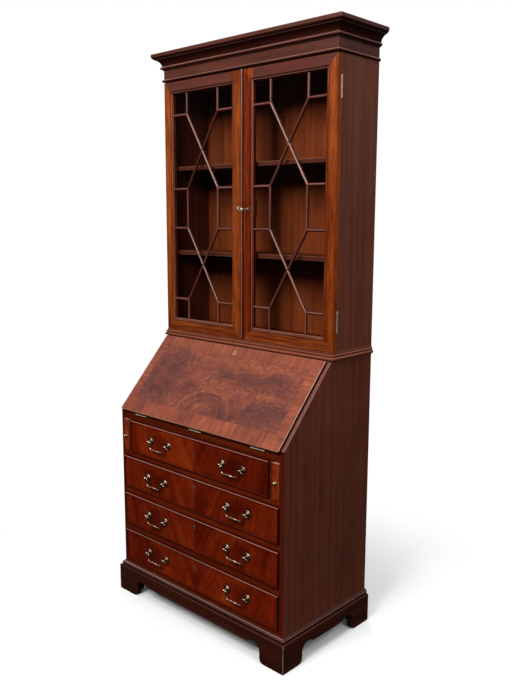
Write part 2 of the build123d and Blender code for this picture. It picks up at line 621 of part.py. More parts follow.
# ------------------------------------------------------------------------- fall
fall_plane = Plane(origin=(0, fy(fall_py), fall_pz), x_dir=(1, 0, 0), z_dir=(0, -sin_f, cos_f))
with BuildPart() as fall_panel:
    with BuildSketch(fall_plane) as s:
        with Locations((0, (fall_len + 0.8) / 2)):
            Rectangle(2 * fall_core, fall_len - 0.8)
    extrude(amount=fall_lip)
    with BuildSketch(fall_plane.offset(fall_lip)) as s:
        with Locations((0, (fall_len + 0.8) / 2)):
            Rectangle(2 * fall_edge, fall_len - 0.8)
    extrude(amount=fall_t - fall_lip)
    with BuildSketch(fall_plane.offset(-1)) as s:
        for k in (-1, 1):
            with Locations((k * (fall_core + 6), 0.8)):
                Rectangle(12, 5.2)
    extrude(amount=fall_t + 2, mode=Mode.SUBTRACT)
    outer = fall_panel.faces().sort_by(Axis((0, 0, 0), (0, -sin_f, cos_f)))[-1]
    fillet(outer.outer_wire().edges(), 2.6)
    # seats for the hinge leaves and their knuckles
    with BuildSketch(fall_plane) as s:
        for hx in hinge_x:
            with Locations((hx, 17)):
                Rectangle(fall_hinge_len + 0.6, 34.4)
    extrude(amount=2.0, mode=Mode.SUBTRACT)
    for hx in hinge_x:
        with Locations(Location((hx, fy(fall_py), fall_pz), (0, 90, 0))):
            Cylinder(knuckle_r + 0.4, fall_hinge_len + 0.6, mode=Mode.SUBTRACT)
    # seat for the writing leather and for the lock
    with BuildSketch(fall_plane) as s:
        with Locations((0, 182)):
            Rectangle(640, 228)
    extrude(amount=1.4, mode=Mode.SUBTRACT)
    with BuildSketch(fall_plane) as s:
        with Locations((0, fall_len - 16)):
            Rectangle(60.6, 34)
    extrude(amount=9.0, mode=Mode.SUBTRACT)
    with BuildSketch(fall_plane.offset(8)) as s:
        with Locations((0, 319.5)):
            Circle(2.7)
        with Locations((0, 315.5)):
            Rectangle(2.6, 8.0)
    extrude(amount=20, mode=Mode.SUBTRACT)
save("fall_panel", fall_panel.part)

with BuildPart() as fall_leather:
    with BuildSketch(fall_plane.offset(0.1)) as s:
        with Locations((0, 182)):
            Rectangle(639.4, 227.4)
    extrude(amount=1.2)
save("fall_leather", fall_leather.part)

with BuildPart() as fall_lock_case:
    with BuildSketch(fall_plane.offset(0.2)) as s:
        with Locations((0, fall_len - 16.2)):
            Rectangle(60.0, 32.4)
    extrude(amount=8.4)
with BuildPart() as fall_plate:
    with BuildSketch(fall_plane.offset(fall_t)) as s:
        with Locations((0, 316.5)):
            Ellipse(7.6, 9.6)
        with Locations((0, 319.5)):
            Circle(2.7, mode=Mode.SUBTRACT)
        with Locations((0, 315.5)):
            Rectangle(2.6, 8.0, mode=Mode.SUBTRACT)
    extrude(amount=0.8)
save("fall_lock", fall_lock_case.part, fall_plate.part)

rail_leaves, flap_leaves = [], []
fseg = fall_hinge_len / 3
for hx in hinge_x:
    with BuildPart() as rail_leaf:
        with Locations(Location((hx - fseg, fy(fall_py), fall_pz), (0, 90, 0)),
                       Location((hx + fseg, fy(fall_py), fall_pz), (0, 90, 0))):
            Cylinder(knuckle_r, fseg - 0.4)
        with Locations((hx, fy(fall_py + 19), bed_top - 1)):
            Box(fall_hinge_len, 30.0, 1.8)
        with Locations((hx - fseg, fy(fall_py + 3), bed_top - 1), (hx + fseg, fy(fall_py + 3), bed_top - 1)):
            Box(fseg - 0.4, 6.0, 1.8)
        with Locations(Location((hx, fy(fall_py), fall_pz), (0, 90, 0))):
            Cylinder(pin_r, fall_hinge_len - 0.6)
    rail_leaves.append(rail_leaf.part)
    with BuildPart() as flap_leaf:
        with BuildSketch(fall_plane.offset(0.1)) as s:
            with Locations((hx, 19)):
                Rectangle(fall_hinge_len, 30.0)
            with Locations((hx, 3)):
                Rectangle(fseg - 0.4, 6.0)
        extrude(amount=1.8)
        with Locations(Location((hx, fy(fall_py), fall_pz), (0, 90, 0))):
            Cylinder(knuckle_r, fseg - 0.4)
            Cylinder(pin_r + 0.05, fseg + 1, mode=Mode.SUBTRACT)
    flap_leaves.append(flap_leaf.part)
save("fall_hinge_rail_leaves", *rail_leaves)
save("fall_hinge_flap_leaves", *flap_leaves)

# ----------------------------------------------------------------------- lopers
loper_right = board(loper_in, loper_out, -loper_proud, 405, loper_z0, loper_z1, 1.6)
save("loper_right", loper_right)
save("loper_left", mirror(loper_right, about=Plane.YZ, mode=Mode.PRIVATE))
knob_points = [(0, 0), (4.6, 0), (4.6, 1.0), (3.0, 2.0), (2.4, 4.0), (3.2, 5.6), (4.8, 7.2),
               (5.4, 9.2), (5.0, 11.0), (3.6, 12.4), (0, 13.0)]
loper_x = (loper_in + loper_out) / 2
loper_knob = turned(knob_points, Plane(origin=(loper_x, fy(-loper_proud), 630.5), x_dir=(1, 0, 0), z_dir=(0, -1, 0)))
save("loper_knob_right", loper_knob)
save("loper_knob_left", mirror(loper_knob, about=Plane.YZ, mode=Mode.PRIVATE))

# ---------------------------------------------------------------------- drawers
side_h = 103.0


def drawer_side(fx, b):
    """Dovetailed drawer side, grooved for the bottom."""
    tail = []
    for c in (82.0, 52.0, 22.0):
        tail += [(front_t, b + c + 9.0), (8.0, b + c + 11.5), (8.0, b + c - 11.5), (front_t, b + c - 9.0)]
    pts = [(front_t, b - 0.5 + side_h)] + tail + [(front_t, b - 0.5), (front_t + box_len, b - 0.5),
                                                 (front_t + box_len, b - 0.5 + side_h)]
    with BuildPart() as side:
        with BuildSketch(Plane.YZ.offset(fx - box_t)) as s:
            with BuildLine():
                Polyline(*[(fy(p), q) for p, q in pts], close=True)
            make_face()
        extrude(amount=box_t)
        with Locations((fx - box_t + 2.0, fy(front_t + box_len / 2), b + 11.0)):
            Box(6.0, box_len + 0.2, 6.0, mode=Mode.SUBTRACT)
    return side.part


ball_r, ball_neck = 5.0, 3.4
ball_set = (ball_r ** 2 - ball_neck ** 2) ** 0.5
rose_points = [(0, 0), (14.2, 0), (14.2, 1.4), (13.7, 2.6), (12.8, 3.2), (11.8, 2.9), (11.1, 1.9), (10.3, 1.2), (9.2, 1.1), (8.2, 1.5),
               (7.2, 2.7), (5.8, 3.8), (4.2, 4.6), (3.2, 6.0), (2.9, 8.0), (ball_neck, post_out - ball_set)]


def rose_and_post(x, z):
    with BuildPart() as p:
        with BuildSketch(Plane(origin=(x, fy(-face_out), z), x_dir=(1, 0, 0), z_dir=(0, 0, 1))) as s:
            with BuildLine():
                Polyline(*[(r, -h) for r, h in rose_points])
                ThreePointArc((ball_neck, ball_set - post_out), (ball_r, -post_out), (0, -post_out - ball_r))
                Line((0, -post_out - ball_r), (0, 0))
            make_face()
        revolve(axis=Axis((x, fy(-face_out), z), (0, 1, 0)))
    return p.part


def bail(cx, z):
    """Swan-neck bail with its two pivot pins, hanging."""
    yb = fy(-face_out - post_out)
    half = handle_pitch / 2
    leg = half - 10.5
    with BuildPart() as b:
        with BuildLine() as path:
            FilletPolyline((cx + half - 5.7, yb, z), (cx + leg, yb, z), (cx + leg, yb, z - bail_drop),
                           (cx - leg, yb, z - bail_drop), (cx - leg, yb, z), (cx - half + 5.7, yb, z),
                           radius=[4.0, 10.0, 10.0, 4.0])
        with BuildSketch(Plane(origin=(cx + half - 5.7, yb, z), z_dir=(-1, 0, 0))) as s:
            Circle(wire_r)
        sweep()
        with Locations(Location((cx + half - 2.0, yb, z), (0, 90, 0)), Location((cx - half + 2.0, yb, z), (0, 90, 0))):
            Cylinder(2.0, 10.0)
        with BuildSketch(Plane(origin=(cx, yb, z - bail_drop), x_dir=(1, 0, 0), z_dir=(0, -1, 0))) as s:
            with BuildLine():
                Polyline((-14, 0), (-14, wire_r), (-13.4, 3.3), (-11.6, 3.3), (-11.0, wire_r + 0.1), (-9.5, wire_r + 0.2))
                ThreePointArc((-9.5, wire_r + 0.2), (0, 4.5), (9.5, wire_r + 0.2))
                Polyline((9.5, wire_r + 0.2), (11.0, wire_r + 0.1), (11.6, 3.3), (13.4, 3.3), (14, wire_r), (14, 0), (-14, 0))
            make_face()
        revolve(axis=Axis((cx, yb, z - bail_drop), (1, 0, 0)))
    return b.part


for i in range(4):
    n, b, fx = i + 1, drawer_bottoms[i], drawer_half[i]
    t = b + drawer_h
    mid = b + drawer_h / 2 + handle_up
    hx = handle_x[i]
    key_z = t - lock_drop[i]
    side_r = drawer_side(fx, b)
    sides = both_sides(side_r)
    with BuildPart() as front:
        with Locations((0, fy(14.0), (b + t) / 2)):
            Box(2 * fx, 12.0, drawer_h)
        with Locations((0, fy(4.0 - face_out / 2), (b + t) / 2)):
            Box(2 * (fx - bead_w), 8.0 + face_out, drawer_h - 2 * bead_w)
        add(sides[0], mode=Mode.SUBTRACT)
        add(sides[1], mode=Mode.SUBTRACT)
        with Locations((0, fy(17.0), b + 11.0)):
            Box(2 * (fx - box_t + 5.0), 6.0, 6.0, mode=Mode.SUBTRACT)
        extrude(keyhole(Plane(origin=(0, fy(-face_out - 1), key_z), x_dir=(1, 0, 0), z_dir=(0, -1, 0)), 2.0, 2.0, 7.0),
                amount=-11 - face_out, mode=Mode.SUBTRACT)
    beads = []
    for corners in (((-fx, t), (fx, t), (fx - bead_w, t - bead_w), (-fx + bead_w, t - bead_w)),
                    ((-fx, b), (fx, b), (fx - bead_w, b + bead_w), (-fx + bead_w, b + bead_w)),
                    ((fx, b), (fx, t), (fx - bead_w, t - bead_w), (fx - bead_w, b + bead_w)),
                    ((-fx, b), (-fx, t), (-fx + bead_w, t - bead_w), (-fx + bead_w, b + bead_w))):
        along = Axis.X if abs(corners[0][0] - corners[1][0]) > 1 else Axis.Z
        with BuildPart() as bead:
            with BuildSketch(Plane.XZ.offset(-fy(8.0))) as s:
                with BuildLine():
                    Polyline(*corners, close=True)
                make_face()
            extrude(amount=8.0 + bead_out)
            fillet(bead.edges().filter_by(along).group_by(Axis.Y)[0], 1.9)
        beads.append(bead.part)
    save("drawer_%d_front" % n, front.part, *beads)

    back = board(-fx + box_t, fx - box_t, front_t + box_len - 11, front_t + box_len, b + 14.0, b - 0.5 + side_h)
    bottom = board(-fx + box_t - 4.9, fx - box_t + 4.9, front_t - 6.0, front_t + box_len, b + 8.1, b + 13.9)
    save("drawer_%d_box" % n, *sides, back, bottom)

    fittings = []
    for cx in (-hx, hx):
        for k in (-1, 1):
            post = rose_and_post(cx + k * handle_pitch / 2, mid)
            with BuildPart() as bored:
                add(post)
                with Locations(Location((cx + k * (handle_pitch / 2 - 2.4), fy(-face_out - post_out), mid), (0, 90, 0))):
                    Cylinder(2.06, 12.0, mode=Mode.SUBTRACT)
            fittings.append(bored.part)
    with BuildPart() as plate:
        with BuildSketch(Plane.XZ.offset(-fy(-face_out))) as s:
            with Locations((0, key_z)):
                Circle(5.4)
            with Locations((0, key_z - 5.5)):
                Trapezoid(7.4, 11.0, 85.0, rotation=180)
            with Locations((0, key_z)):
                Circle(2.0, mode=Mode.SUBTRACT)
            with Locations((0, key_z - 3.5)):
                Rectangle(2.0, 7.0, mode=Mode.SUBTRACT)
        extrude(amount=0.7)
    save("drawer_%d_fittings" % n, *fittings, plate.part)

    save("bail_%d_left" % n, bail(-hx, mid))
    save("bail_%d_right" % n, bail(hx, mid))

# -------------------------------------------------------------------- gallery
gal_x, gal_y0, gal_y1 = 391.0, 246.0, 440.0
gal_shelf, gal_top = 790.0, 940.0
ends = both_sides(board(gal_x - 8, gal_x, gal_y0, gal_y1, bed_top + 0.2, gal_top - 8))
gal_pieces = ends + [board(-gal_x, gal_x, gal_y0 - 3, gal_y1, gal_top - 8, gal_top, 1.0),
                     board(-gal_x + 8, gal_x - 8, gal_y0, gal_y1, gal_shelf, gal_shelf + 8),
                     *both_sides(board(126, 132, gal_y0, gal_y1, bed_top + 0.2, gal_shelf)),
                     board(-gal_x + 8, gal_x - 8, gal_y1 - 5, gal_y1, gal_shelf + 8, gal_top - 8)]
bays = [8 - gal_x, -255.0, -127.5, 0.0, 127.5, 255.0, gal_x - 8]
for x in bays[1:-1]:
    gal_pieces.append(board(x - 3, x + 3, gal_y0, gal_y1 - 5, gal_shelf + 8, gal_top - 8))
for x0, x1 in zip(bays[:-1], bays[1:]):
    a0 = x0 + (0 if x0 == bays[0] else 3)
    a1 = x1 - (0 if x1 == bays[-1] else 3)
    c = (a0 + a1) / 2
    with BuildPart() as valance:
        with BuildSketch(Plane.XZ.offset(-fy(gal_y0 + 8))) as s:
            with BuildLine():
                Polyline((a0, gal_top - 46), (a0, gal_top - 8), (a1, gal_top - 8), (a1, gal_top - 46), (a1 - 6, gal_top - 40))
                ThreePointArc((a1 - 6, gal_top - 40), (a1 - 30, gal_top - 27), (c, gal_top - 34))
                ThreePointArc((c, gal_top - 34), (a0 + 30, gal_top - 27), (a0 + 6, gal_top - 40))
                Line((a0 + 6, gal_top - 40), (a0, gal_top - 46))
            make_face()
        extrude(amount=6)
    gal_pieces.append(valance.part)
save("pigeonhole_gallery", *gal_pieces)

sx0, sx1 = 132.8, gal_x - 8.8
sd_b, sd_t = bed_top + 0.8, gal_shelf - 0.8
knob_small = [(0, 0), (5.0, 0), (5.0, 0.8), (3.2, 2.2), (3.0, 4.0), (5.6, 6.0), (7.0, 8.6), (6.6, 10.6), (4.6, 12.0), (0, 12.6)]
small = [board(sx0, sx1, gal_y0 + 1, gal_y0 + 13, sd_b, sd_t, 0.8),
         board(sx0 + 0.6, sx0 + 6.6, gal_y0 + 13, gal_y0 + 180, sd_b, sd_t - 4),
         board(sx1 - 6.6, sx1 - 0.6, gal_y0 + 13, gal_y0 + 180, sd_b, sd_t - 4),
         board(sx0 + 6.6, sx1 - 6.6, gal_y0 + 174, gal_y0 + 180, sd_b, sd_t - 4),
         board(sx0 + 6.6, sx1 - 6.6, gal_y0 + 13, gal_y0 + 174, sd_b + 2, sd_b + 6),
         turned(knob_small, Plane(origin=((sx0 + sx1) / 2, fy(gal_y0 + 1), (sd_b + sd_t) / 2), x_dir=(1, 0, 0), z_dir=(0, -1, 0)))]
save("small_drawer_right", *small)
save("small_drawer_left", *[mirror(p, about=Plane.YZ, mode=Mode.PRIVATE) for p in small])
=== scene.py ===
import math

import bpy
import bmesh
import numpy as np
from mathutils import Matrix, Vector

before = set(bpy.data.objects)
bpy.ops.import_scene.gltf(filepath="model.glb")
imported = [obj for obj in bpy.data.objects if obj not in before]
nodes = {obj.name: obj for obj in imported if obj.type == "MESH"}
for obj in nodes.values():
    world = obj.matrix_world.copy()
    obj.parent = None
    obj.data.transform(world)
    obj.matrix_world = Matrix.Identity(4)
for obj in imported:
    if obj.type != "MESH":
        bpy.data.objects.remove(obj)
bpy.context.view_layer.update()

scene = bpy.context.scene
Y0 = -0.216           # front face of the bureau carcase
FALL_A = math.radians(47.6)
FALL_PY, FALL_PZ = Y0 + 0.0025, 0.720

scene.view_settings.view_transform = "Standard"
scene.view_settings.look = "None"

# ------------------------------------------------------------------ camera
yaw, pitch, roll = (math.radians(a) for a in (43.071, -9.328, 0.17))
fwd = Vector((-math.sin(yaw) * math.cos(pitch), math.cos(yaw) * math.cos(pitch), math.sin(pitch)))
right = Vector((math.cos(yaw), math.sin(yaw), 0.0))
up = right.cross(fwd)
r2 = right * math.cos(roll) + up * math.sin(roll)
u2 = up * math.cos(roll) - right * math.sin(roll)
cam_data = bpy.data.cameras.new("camera")
cam_data.lens, cam_data.sensor_width, cam_data.sensor_fit = 39.42, 36.0, "AUTO"
cam_data.clip_start, cam_data.clip_end = 0.05, 60.0
cam = bpy.data.objects.new("camera", cam_data)
cam.matrix_world = Matrix(((r2.x, u2.x, -fwd.x, 1.85835), (r2.y, u2.y, -fwd.y, -1.8946),
                           (r2.z, u2.z, -fwd.z, 1.44558), (0, 0, 0, 1)))
scene.collection.objects.link(cam)
scene.camera = cam


# --------------------------------------------------------- shader tree helper
class Tree:
    def __init__(self, name, material=True):
        if material:
            self.m = bpy.data.materials.new(name)
            self.m.use_nodes = True
            self.t = self.m.node_tree
        self.t.nodes.clear()

    def new(self, kind, **kw):
        n = self.t.nodes.new(kind)
        for k, v in kw.items():
            setattr(n, k, v)
        return n

    def put(self, sock, v):
        if isinstance(v, bpy.types.NodeSocket):
            self.t.links.new(v, sock)
        elif v is not None:
            sock.default_value = v

    def math(self, op, a, b=None, c=None, clamp=False):
        n = self.new("ShaderNodeMath", operation=op, use_clamp=clamp)
        for s, v in zip(n.inputs, (a, b, c)):
            self.put(s, v)
        return n.outputs[0]

    def add(self, a, b):
        return self.math("ADD", a, b)

    def sub(self, a, b):
        return self.math("SUBTRACT", a, b)

    def mul(self, a, b):
        return self.math("MULTIPLY", a, b)

    def comb(self, x, y, z=0.0):
        n = self.new("ShaderNodeCombineXYZ")
        for s, v in zip(n.inputs, (x, y, z)):
            self.put(s, v)
        return n.outputs[0]

    def sep(self, v):
        n = self.new("ShaderNodeSeparateXYZ")
        self.put(n.inputs[0], v)
        return n.outputs[0], n.outputs[1], n.outputs[2]

    def attr(self, name):
        n = self.new("ShaderNodeAttribute", attribute_type="GEOMETRY", attribute_name=name)
        return n

    def obj(self):
        return self.new("ShaderNodeTexCoord").outputs["Object"]

    def noise(self, v, scale=1.0, detail=2.0, rough=0.5, dist=0.0, color=False):
        n = self.new("ShaderNodeTexNoise", noise_dimensions="3D")
        self.put(n.inputs["Vector"], v)
        n.inputs["Scale"].default_value = scale
        n.inputs["Detail"].default_value = detail
        n.inputs["Roughness"].default_value = rough
        n.inputs["Distortion"].default_value = dist
        return n.outputs["Color" if color else 0]

    def voronoi(self, v, scale, feature="F1", out="Distance", rand=1.0):
        n = self.new("ShaderNodeTexVoronoi", feature=feature, voronoi_dimensions="3D")
        self.put(n.inputs["Vector"], v)
        n.inputs["Scale"].default_value = scale
        n.inputs["Randomness"].default_value = rand
        return n.outputs[out]

    def rng(self, v, a, b, c=0.0, d=1.0, smooth=False):
        n = self.new("ShaderNodeMapRange", interpolation_type="SMOOTHSTEP" if smooth else "LINEAR", clamp=True)
        self.put(n.inputs["Value"], v)
        for s, x in zip(("From Min", "From Max", "To Min", "To Max"), (a, b, c, d)):
            n.inputs[s].default_value = x
        return n.outputs["Result"]

    def ramp(self, f, stops, interp="LINEAR"):
        n = self.new("ShaderNodeValToRGB")
        n.color_ramp.interpolation = interp
        el = n.color_ramp.elements
        while len(el) > 1:
            el.remove(el[-1])
        el[0].position, el[0].color = stops[0][0], rgba(stops[0][1])
        for p, c in stops[1:]:
            e = el.new(p)
            e.color = rgba(c)
        self.put(n.inputs[0], f)
        return n.outputs["Color"]

    def mix(self, f, a, b, blend="MIX"):
        n = self.new("ShaderNodeMix", data_type="RGBA", blend_type=blend, clamp_factor=True)
        self.put(n.inputs["Factor"], f)
        self.put(n.inputs[6], rgba(a) if isinstance(a, (tuple, list)) else a)
        self.put(n.inputs[7], rgba(b) if isinstance(b, (tuple, list)) else b)
        return n.outputs[2]

    def blend(self, f, a, b):
        n = self.new("ShaderNodeMix", data_type="FLOAT", clamp_factor=True)
        self.put(n.inputs["Factor"], f)
        self.put(n.inputs[2], a)
        self.put(n.inputs[3], b)
        return n.outputs[0]

    def gain(self, col, f):
        """The colour times a number."""
        n = self.new("ShaderNodeVectorMath", operation="SCALE")
        self.put(n.inputs[0], col)
        self.put(n.inputs["Scale"], f)
        return n.outputs[0]

    def bevel(self, r, samples=4):
        n = self.new("ShaderNodeBevel", samples=samples)
        n.inputs["Radius"].default_value = r
        return n.outputs[0]

    def arris(self, soft):
        """1 where the surface turns sharply within the bevel's reach, 0 on the flat."""
        g = self.new("ShaderNodeNewGeometry").outputs["Normal"]
        d = self.new("ShaderNodeVectorMath", operation="DOT_PRODUCT")
        self.put(d.inputs[0], soft)
        self.put(d.inputs[1], g)
        return self.rng(d.outputs["Value"], 0.995, 0.80)

    def hollow(self, reach, samples=4):
        """1 in the quirks and hollows of the piece itself, 0 in the open."""
        n = self.new("ShaderNodeAmbientOcclusion", samples=samples, only_local=True)
        n.inputs["Distance"].default_value = reach
        return self.rng(n.outputs["AO"], 0.40, 0.90, 1.0, 0.0)

    def bump(self, h, dist, strength=1.0, normal=None):
        n = self.new("ShaderNodeBump")
        n.inputs["Strength"].default_value = strength
        n.inputs["Distance"].default_value = dist
        self.put(n.inputs["Height"], h)
        if normal is not None:
            self.put(n.inputs["Normal"], normal)
        return n.outputs[0]

    def principled(self, **kw):
        n = self.new("ShaderNodeBsdfPrincipled")
        for k, v in kw.items():
            self.put(n.inputs[k.replace("_", " ")], rgba(v) if isinstance(v, (tuple, list)) and len(v) == 3 else v)
        return n

    def done(self, shader):
        out = self.new("ShaderNodeOutputMaterial")
        self.t.links.new(shader, out.inputs["Surface"])
        return self.m


def rgba(c):
    return (*c, 1.0) if len(c) == 3 else tuple(c)


# ------------------------------------------------------------- grain of boards
def polys(o):
    me = o.data
    n = len(me.polygons)
    cen, nor = np.empty(n * 3, np.float32), np.empty(n * 3, np.float32)
    me.polygons.foreach_get("center", cen)
    me.polygons.foreach_get("normal", nor)
    return cen.reshape(-1, 3).astype(float), nor.reshape(-1, 3).astype(float)


def corners(o):
    me = o.data
    co = np.empty(len(me.vertices) * 3, np.float32)
    me.vertices.foreach_get("co", co)
    lv = np.empty(len(me.loops), np.int32)
    me.loops.foreach_get("vertex_index", lv)
    lt = np.empty(len(me.polygons), np.int32)
    me.polygons.foreach_get("loop_total", lt)
    return co.reshape(-1, 3).astype(float), lv, np.repeat(np.arange(len(lt)), lt)


def boards(o):
    """Board number of every polygon: polygons joined through shared places belong to one board."""
    co, lv, lp = corners(o)
    _, place = np.unique(np.round(co, 5), axis=0, return_inverse=True)
    place = place.ravel()
    parent = list(range(place.max() + 1))

    def find(a):
        while parent[a] != a:
            parent[a] = parent[parent[a]]
            a = parent[a]
        return a

    first = {}
    for p, v in zip(lp, place[lv]):
        if p in first:
            ra, rb = find(first[p]), find(v)
            if ra != rb:
                parent[rb] = ra
        else:
            first[p] = v
    roots = np.array([find(first[p]) for p in range(len(o.data.polygons))])
    _, number = np.unique(roots, return_inverse=True)
    return number.ravel()


def lay(o, axis, seed, tone):
    """Writes each board's own coordinates (along the grain, then across) and its tone.
    axis holds, for each polygon, 0, 1 or 2, or is an array of 3 x 3 frames; seed and tone are per polygon."""
    co, lv, lp = corners(o)
    p = co[lv]
    axis = np.asarray(axis)
    if axis.ndim == 1:
        eye = np.eye(3)
        frames = np.stack([np.stack([eye[a], eye[(a + 1) % 3], eye[(a + 2) % 3]]) for a in range(3)])[axis]
    else:
        frames = axis
    g = np.einsum("nij,nj->ni", frames[lp], p)
    seeds = np.asarray(seed)
    shift = np.zeros((len(seeds), 3))
    for s in np.unique(seeds):
        shift[seeds == s] = np.random.RandomState(int(s) * 7 + 11).uniform(0.0, 4.0, 3)
    g = g + shift[lp]
    me = o.data
    a = me.attributes.new("grain", "FLOAT_VECTOR", "CORNER")
    a.data.foreach_set("vector", g.astype(np.float32).ravel())
    b = me.attributes.new("tone", "FLOAT", "CORNER")
    b.data.foreach_set("value", np.asarray(tone, float)[lp].astype(np.float32))


def lay_boards(name, seed0, tone=None, force=None, spread=0.5):
    """Grain along each board's longest side (or the forced axis), a tone of its own for each board."""
    o = nodes[name]
    number = boards(o)
    co, lv, lp = corners(o)
    p = co[lv]
    axis = np.zeros(len(number), int)
    seeds = np.zeros(len(number), int)
    tones = np.zeros(len(number))
    for b in range(number.max() + 1):
        m = number == b
        pts = p[m[lp]]
        axis[m] = int(np.argmax(pts.max(0) - pts.min(0))) if force is None else force
        seeds[m] = seed0 + b
        r = np.random.RandomState(seed0 * 31 + b)
        tones[m] = (tone if tone is not None else 0.25) + spread * (r.rand() - 0.5)
    lay(o, axis, seeds, np.clip(tones, 0, 1))


def lay_mitred(name, seed0, hx, y_front, tone=0.3, rear=None):
    """Mouldings and boxes round the front and both sides: grain along each run, parted at the mitres."""
    o = nodes[name]
    cen, nor = polys(o)
    front = (cen[:, 1] - y_front) < (hx - np.abs(cen[:, 0]))
    axis = np.where(front, 0, 1)
    seeds = np.where(front, seed0, np.where(cen[:, 0] > 0, seed0 + 1, seed0 + 2))
    if rear is not None:
        back = (cen[:, 1] > rear) & (np.abs(cen[:, 0]) < hx - 0.019)
        axis[back] = 0
        seeds[back] = seed0 + 3
    tones = np.where(front, tone, tone + 0.1)
    lay(o, axis, seeds, tones)


def lay_door(name, sign, seed0):
    o = nodes[name]
    cen, nor = polys(o)
    x = cen[:, 0] * sign
    x0, x1, z0, z1 = 0.0072, 0.4095, 1.0164, 1.9478
    dx = np.minimum(x - x0, x1 - x)
    dz = np.minimum(cen[:, 2] - z0, z1 - cen[:, 2])
    bead = x < x0 - 0.0001
    # faces that lie in a mitre or at the ends take the stile's grain
    rail = (dz < dx - 1e-5) & ~bead
    axis = np.where(rail, 0, 2)
    top = cen[:, 2] > 1.48
    seeds = np.where(rail, np.where(top, seed0, seed0 + 1), np.where(x > 0.2, seed0 + 2, seed0 + 3))
    seeds[bead] = seed0 + 4
    tones = np.where(rail, np.where(top, 0.85, 0.22), np.where(x > 0.2, 0.0, 0.08))
    tones[bead] = 0.45
    lay(o, axis, seeds, tones)
    # 1 the closing stile, 2 a painted highlight on the crests and bead faces turned towards the light, 3 painted shade
    # in the quirks, on faces turned away and on the bead under the top rail
    kind = np.where(~rail & ~bead & (x < 0.2) & (sign > 0), 1, 0)
    stick = (np.where(rail, dz, dx) > 0.0341) & (cen[:, 1] < Y0 + 0.2354 + 0.0082)
    inward = np.where(rail, np.where(top, -nor[:, 2], nor[:, 2]), np.where(x > 0.2, -1.0, 1.0) * nor[:, 0] * sign)
    low_rail = rail & ~top
    kind[stick & np.where(low_rail, (inward > -0.10) & (inward < 0.36), (inward > 0.12) & (inward < 0.52))] = 2
    kind[stick & (inward > np.where(low_rail, 0.36, 0.52)) & (np.abs(inward - 0.66) > 0.006)] = 3
    kind[low_rail & (cen[:, 2] > z0 + 0.0437) & (cen[:, 1] < Y0 + 0.2354 + 0.0080) & (np.abs(inward - 0.66) < 0.006)] = 2
    kind[low_rail & (cen[:, 2] > z0 + 0.0449) & (nor[:, 2] > 0.9)] = 2
    kind[stick & (inward < -0.5)] = 3
    kind[stick & ~rail & (nor[:, 0] < -0.05)] = 0
    kind[stick & ~rail & (nor[:, 0] < -0.60)] = 3
    kind[stick & rail & top] = 3
    kind[stick & rail & top & (inward > 0.10) & (inward < 0.40)] = 2
    kind[bead & (cen[:, 1] < Y0 + 0.2354) & (nor[:, 0] > 0.02) & (nor[:, 0] < 0.5)] = 2
    kind[bead & (np.abs(nor[:, 0]) > 0.5)] = 3
    return kind


# glazing bars: the same lines that the bars are planted on
sx0, sx1, sz0, sz1 = 0.0522, 0.3645, 1.0614, 1.9028
bl, br = sx0 + 0.075, sx1 - 0.075
mz = (sz0 + sz1) / 2
nh, nm, nl, nk = mz + 0.344, mz + 0.073, mz - 0.344, mz - 0.073
BARS = [((bl, sz1), (bl, nh)), ((br, sz1), (br, nh)), ((sx0, nh), (bl, nh)), ((br, nh), (sx1, nh)),
        ((bl, nh), (br, nm)), ((br, nh), (bl, nm)), ((sx0, nm), (bl, nm)), ((br, nm), (sx1, nm)),
        ((bl, nm), (bl, nk)), ((br, nm), (br, nk)), ((sx0, nk), (bl, nk)), ((br, nk), (sx1, nk)),
        ((bl, nk), (br, nl)), ((br, nk), (bl, nl)), ((sx0, nl), (bl, nl)), ((br, nl), (sx1, nl)),
        ((bl, nl), (bl, sz0)), ((br, nl), (br, sz0))]


def lay_bars(name, sign, seed0):
    o = nodes[name]
    cen, nor = polys(o)
    q = np.stack([cen[:, 0] * sign, cen[:, 2]], 1)
    best, pick = np.full(len(q), 9.0), np.zeros(len(q), int)
    frames = []
    for i, (a, b) in enumerate(BARS):
        a, b = np.array(a), np.array(b)
        d = b - a
        t = np.clip(((q - a) @ d) / (d @ d), 0, 1)
        dist = np.linalg.norm(q - a - t[:, None] * d, axis=1)
        pick = np.where(dist < best - 1e-6, i, pick)
        best = np.minimum(best, dist)
        d = d / np.linalg.norm(d)
        frames.append([[d[0] * sign, 0, d[1]], [0, 1, 0], [-d[1] * sign, 0, d[0]]])
    frames = np.array(frames)[pick]
    # painted light and shade: bars leaning one way are toned lighter than those leaning the other, uprights and levels
    # in between, after how the light from the upper right falls on them
    lean = [np.sign((b[0] - a[0]) * (b[1] - a[1]) * sign) for a, b in BARS]
    tone = np.array([{-1.0: 0.05, 0.0: 0.45, 1.0: 0.80}[float(k)] for k in lean])
    tone = tone + np.random.RandomState(seed0).uniform(-0.05, 0.15, len(BARS))
    lay(o, frames, seed0 + pick, np.clip(tone, 0, 1)[pick])
    # painted shade: the bars' flanks and the parts off their crest take the near-black cove wood
    flank = np.abs(np.einsum("ni,ni->n", nor, frames[:, 2])) > 0.84
    return (flank | (best > 0.0041)).astype(np.int32)


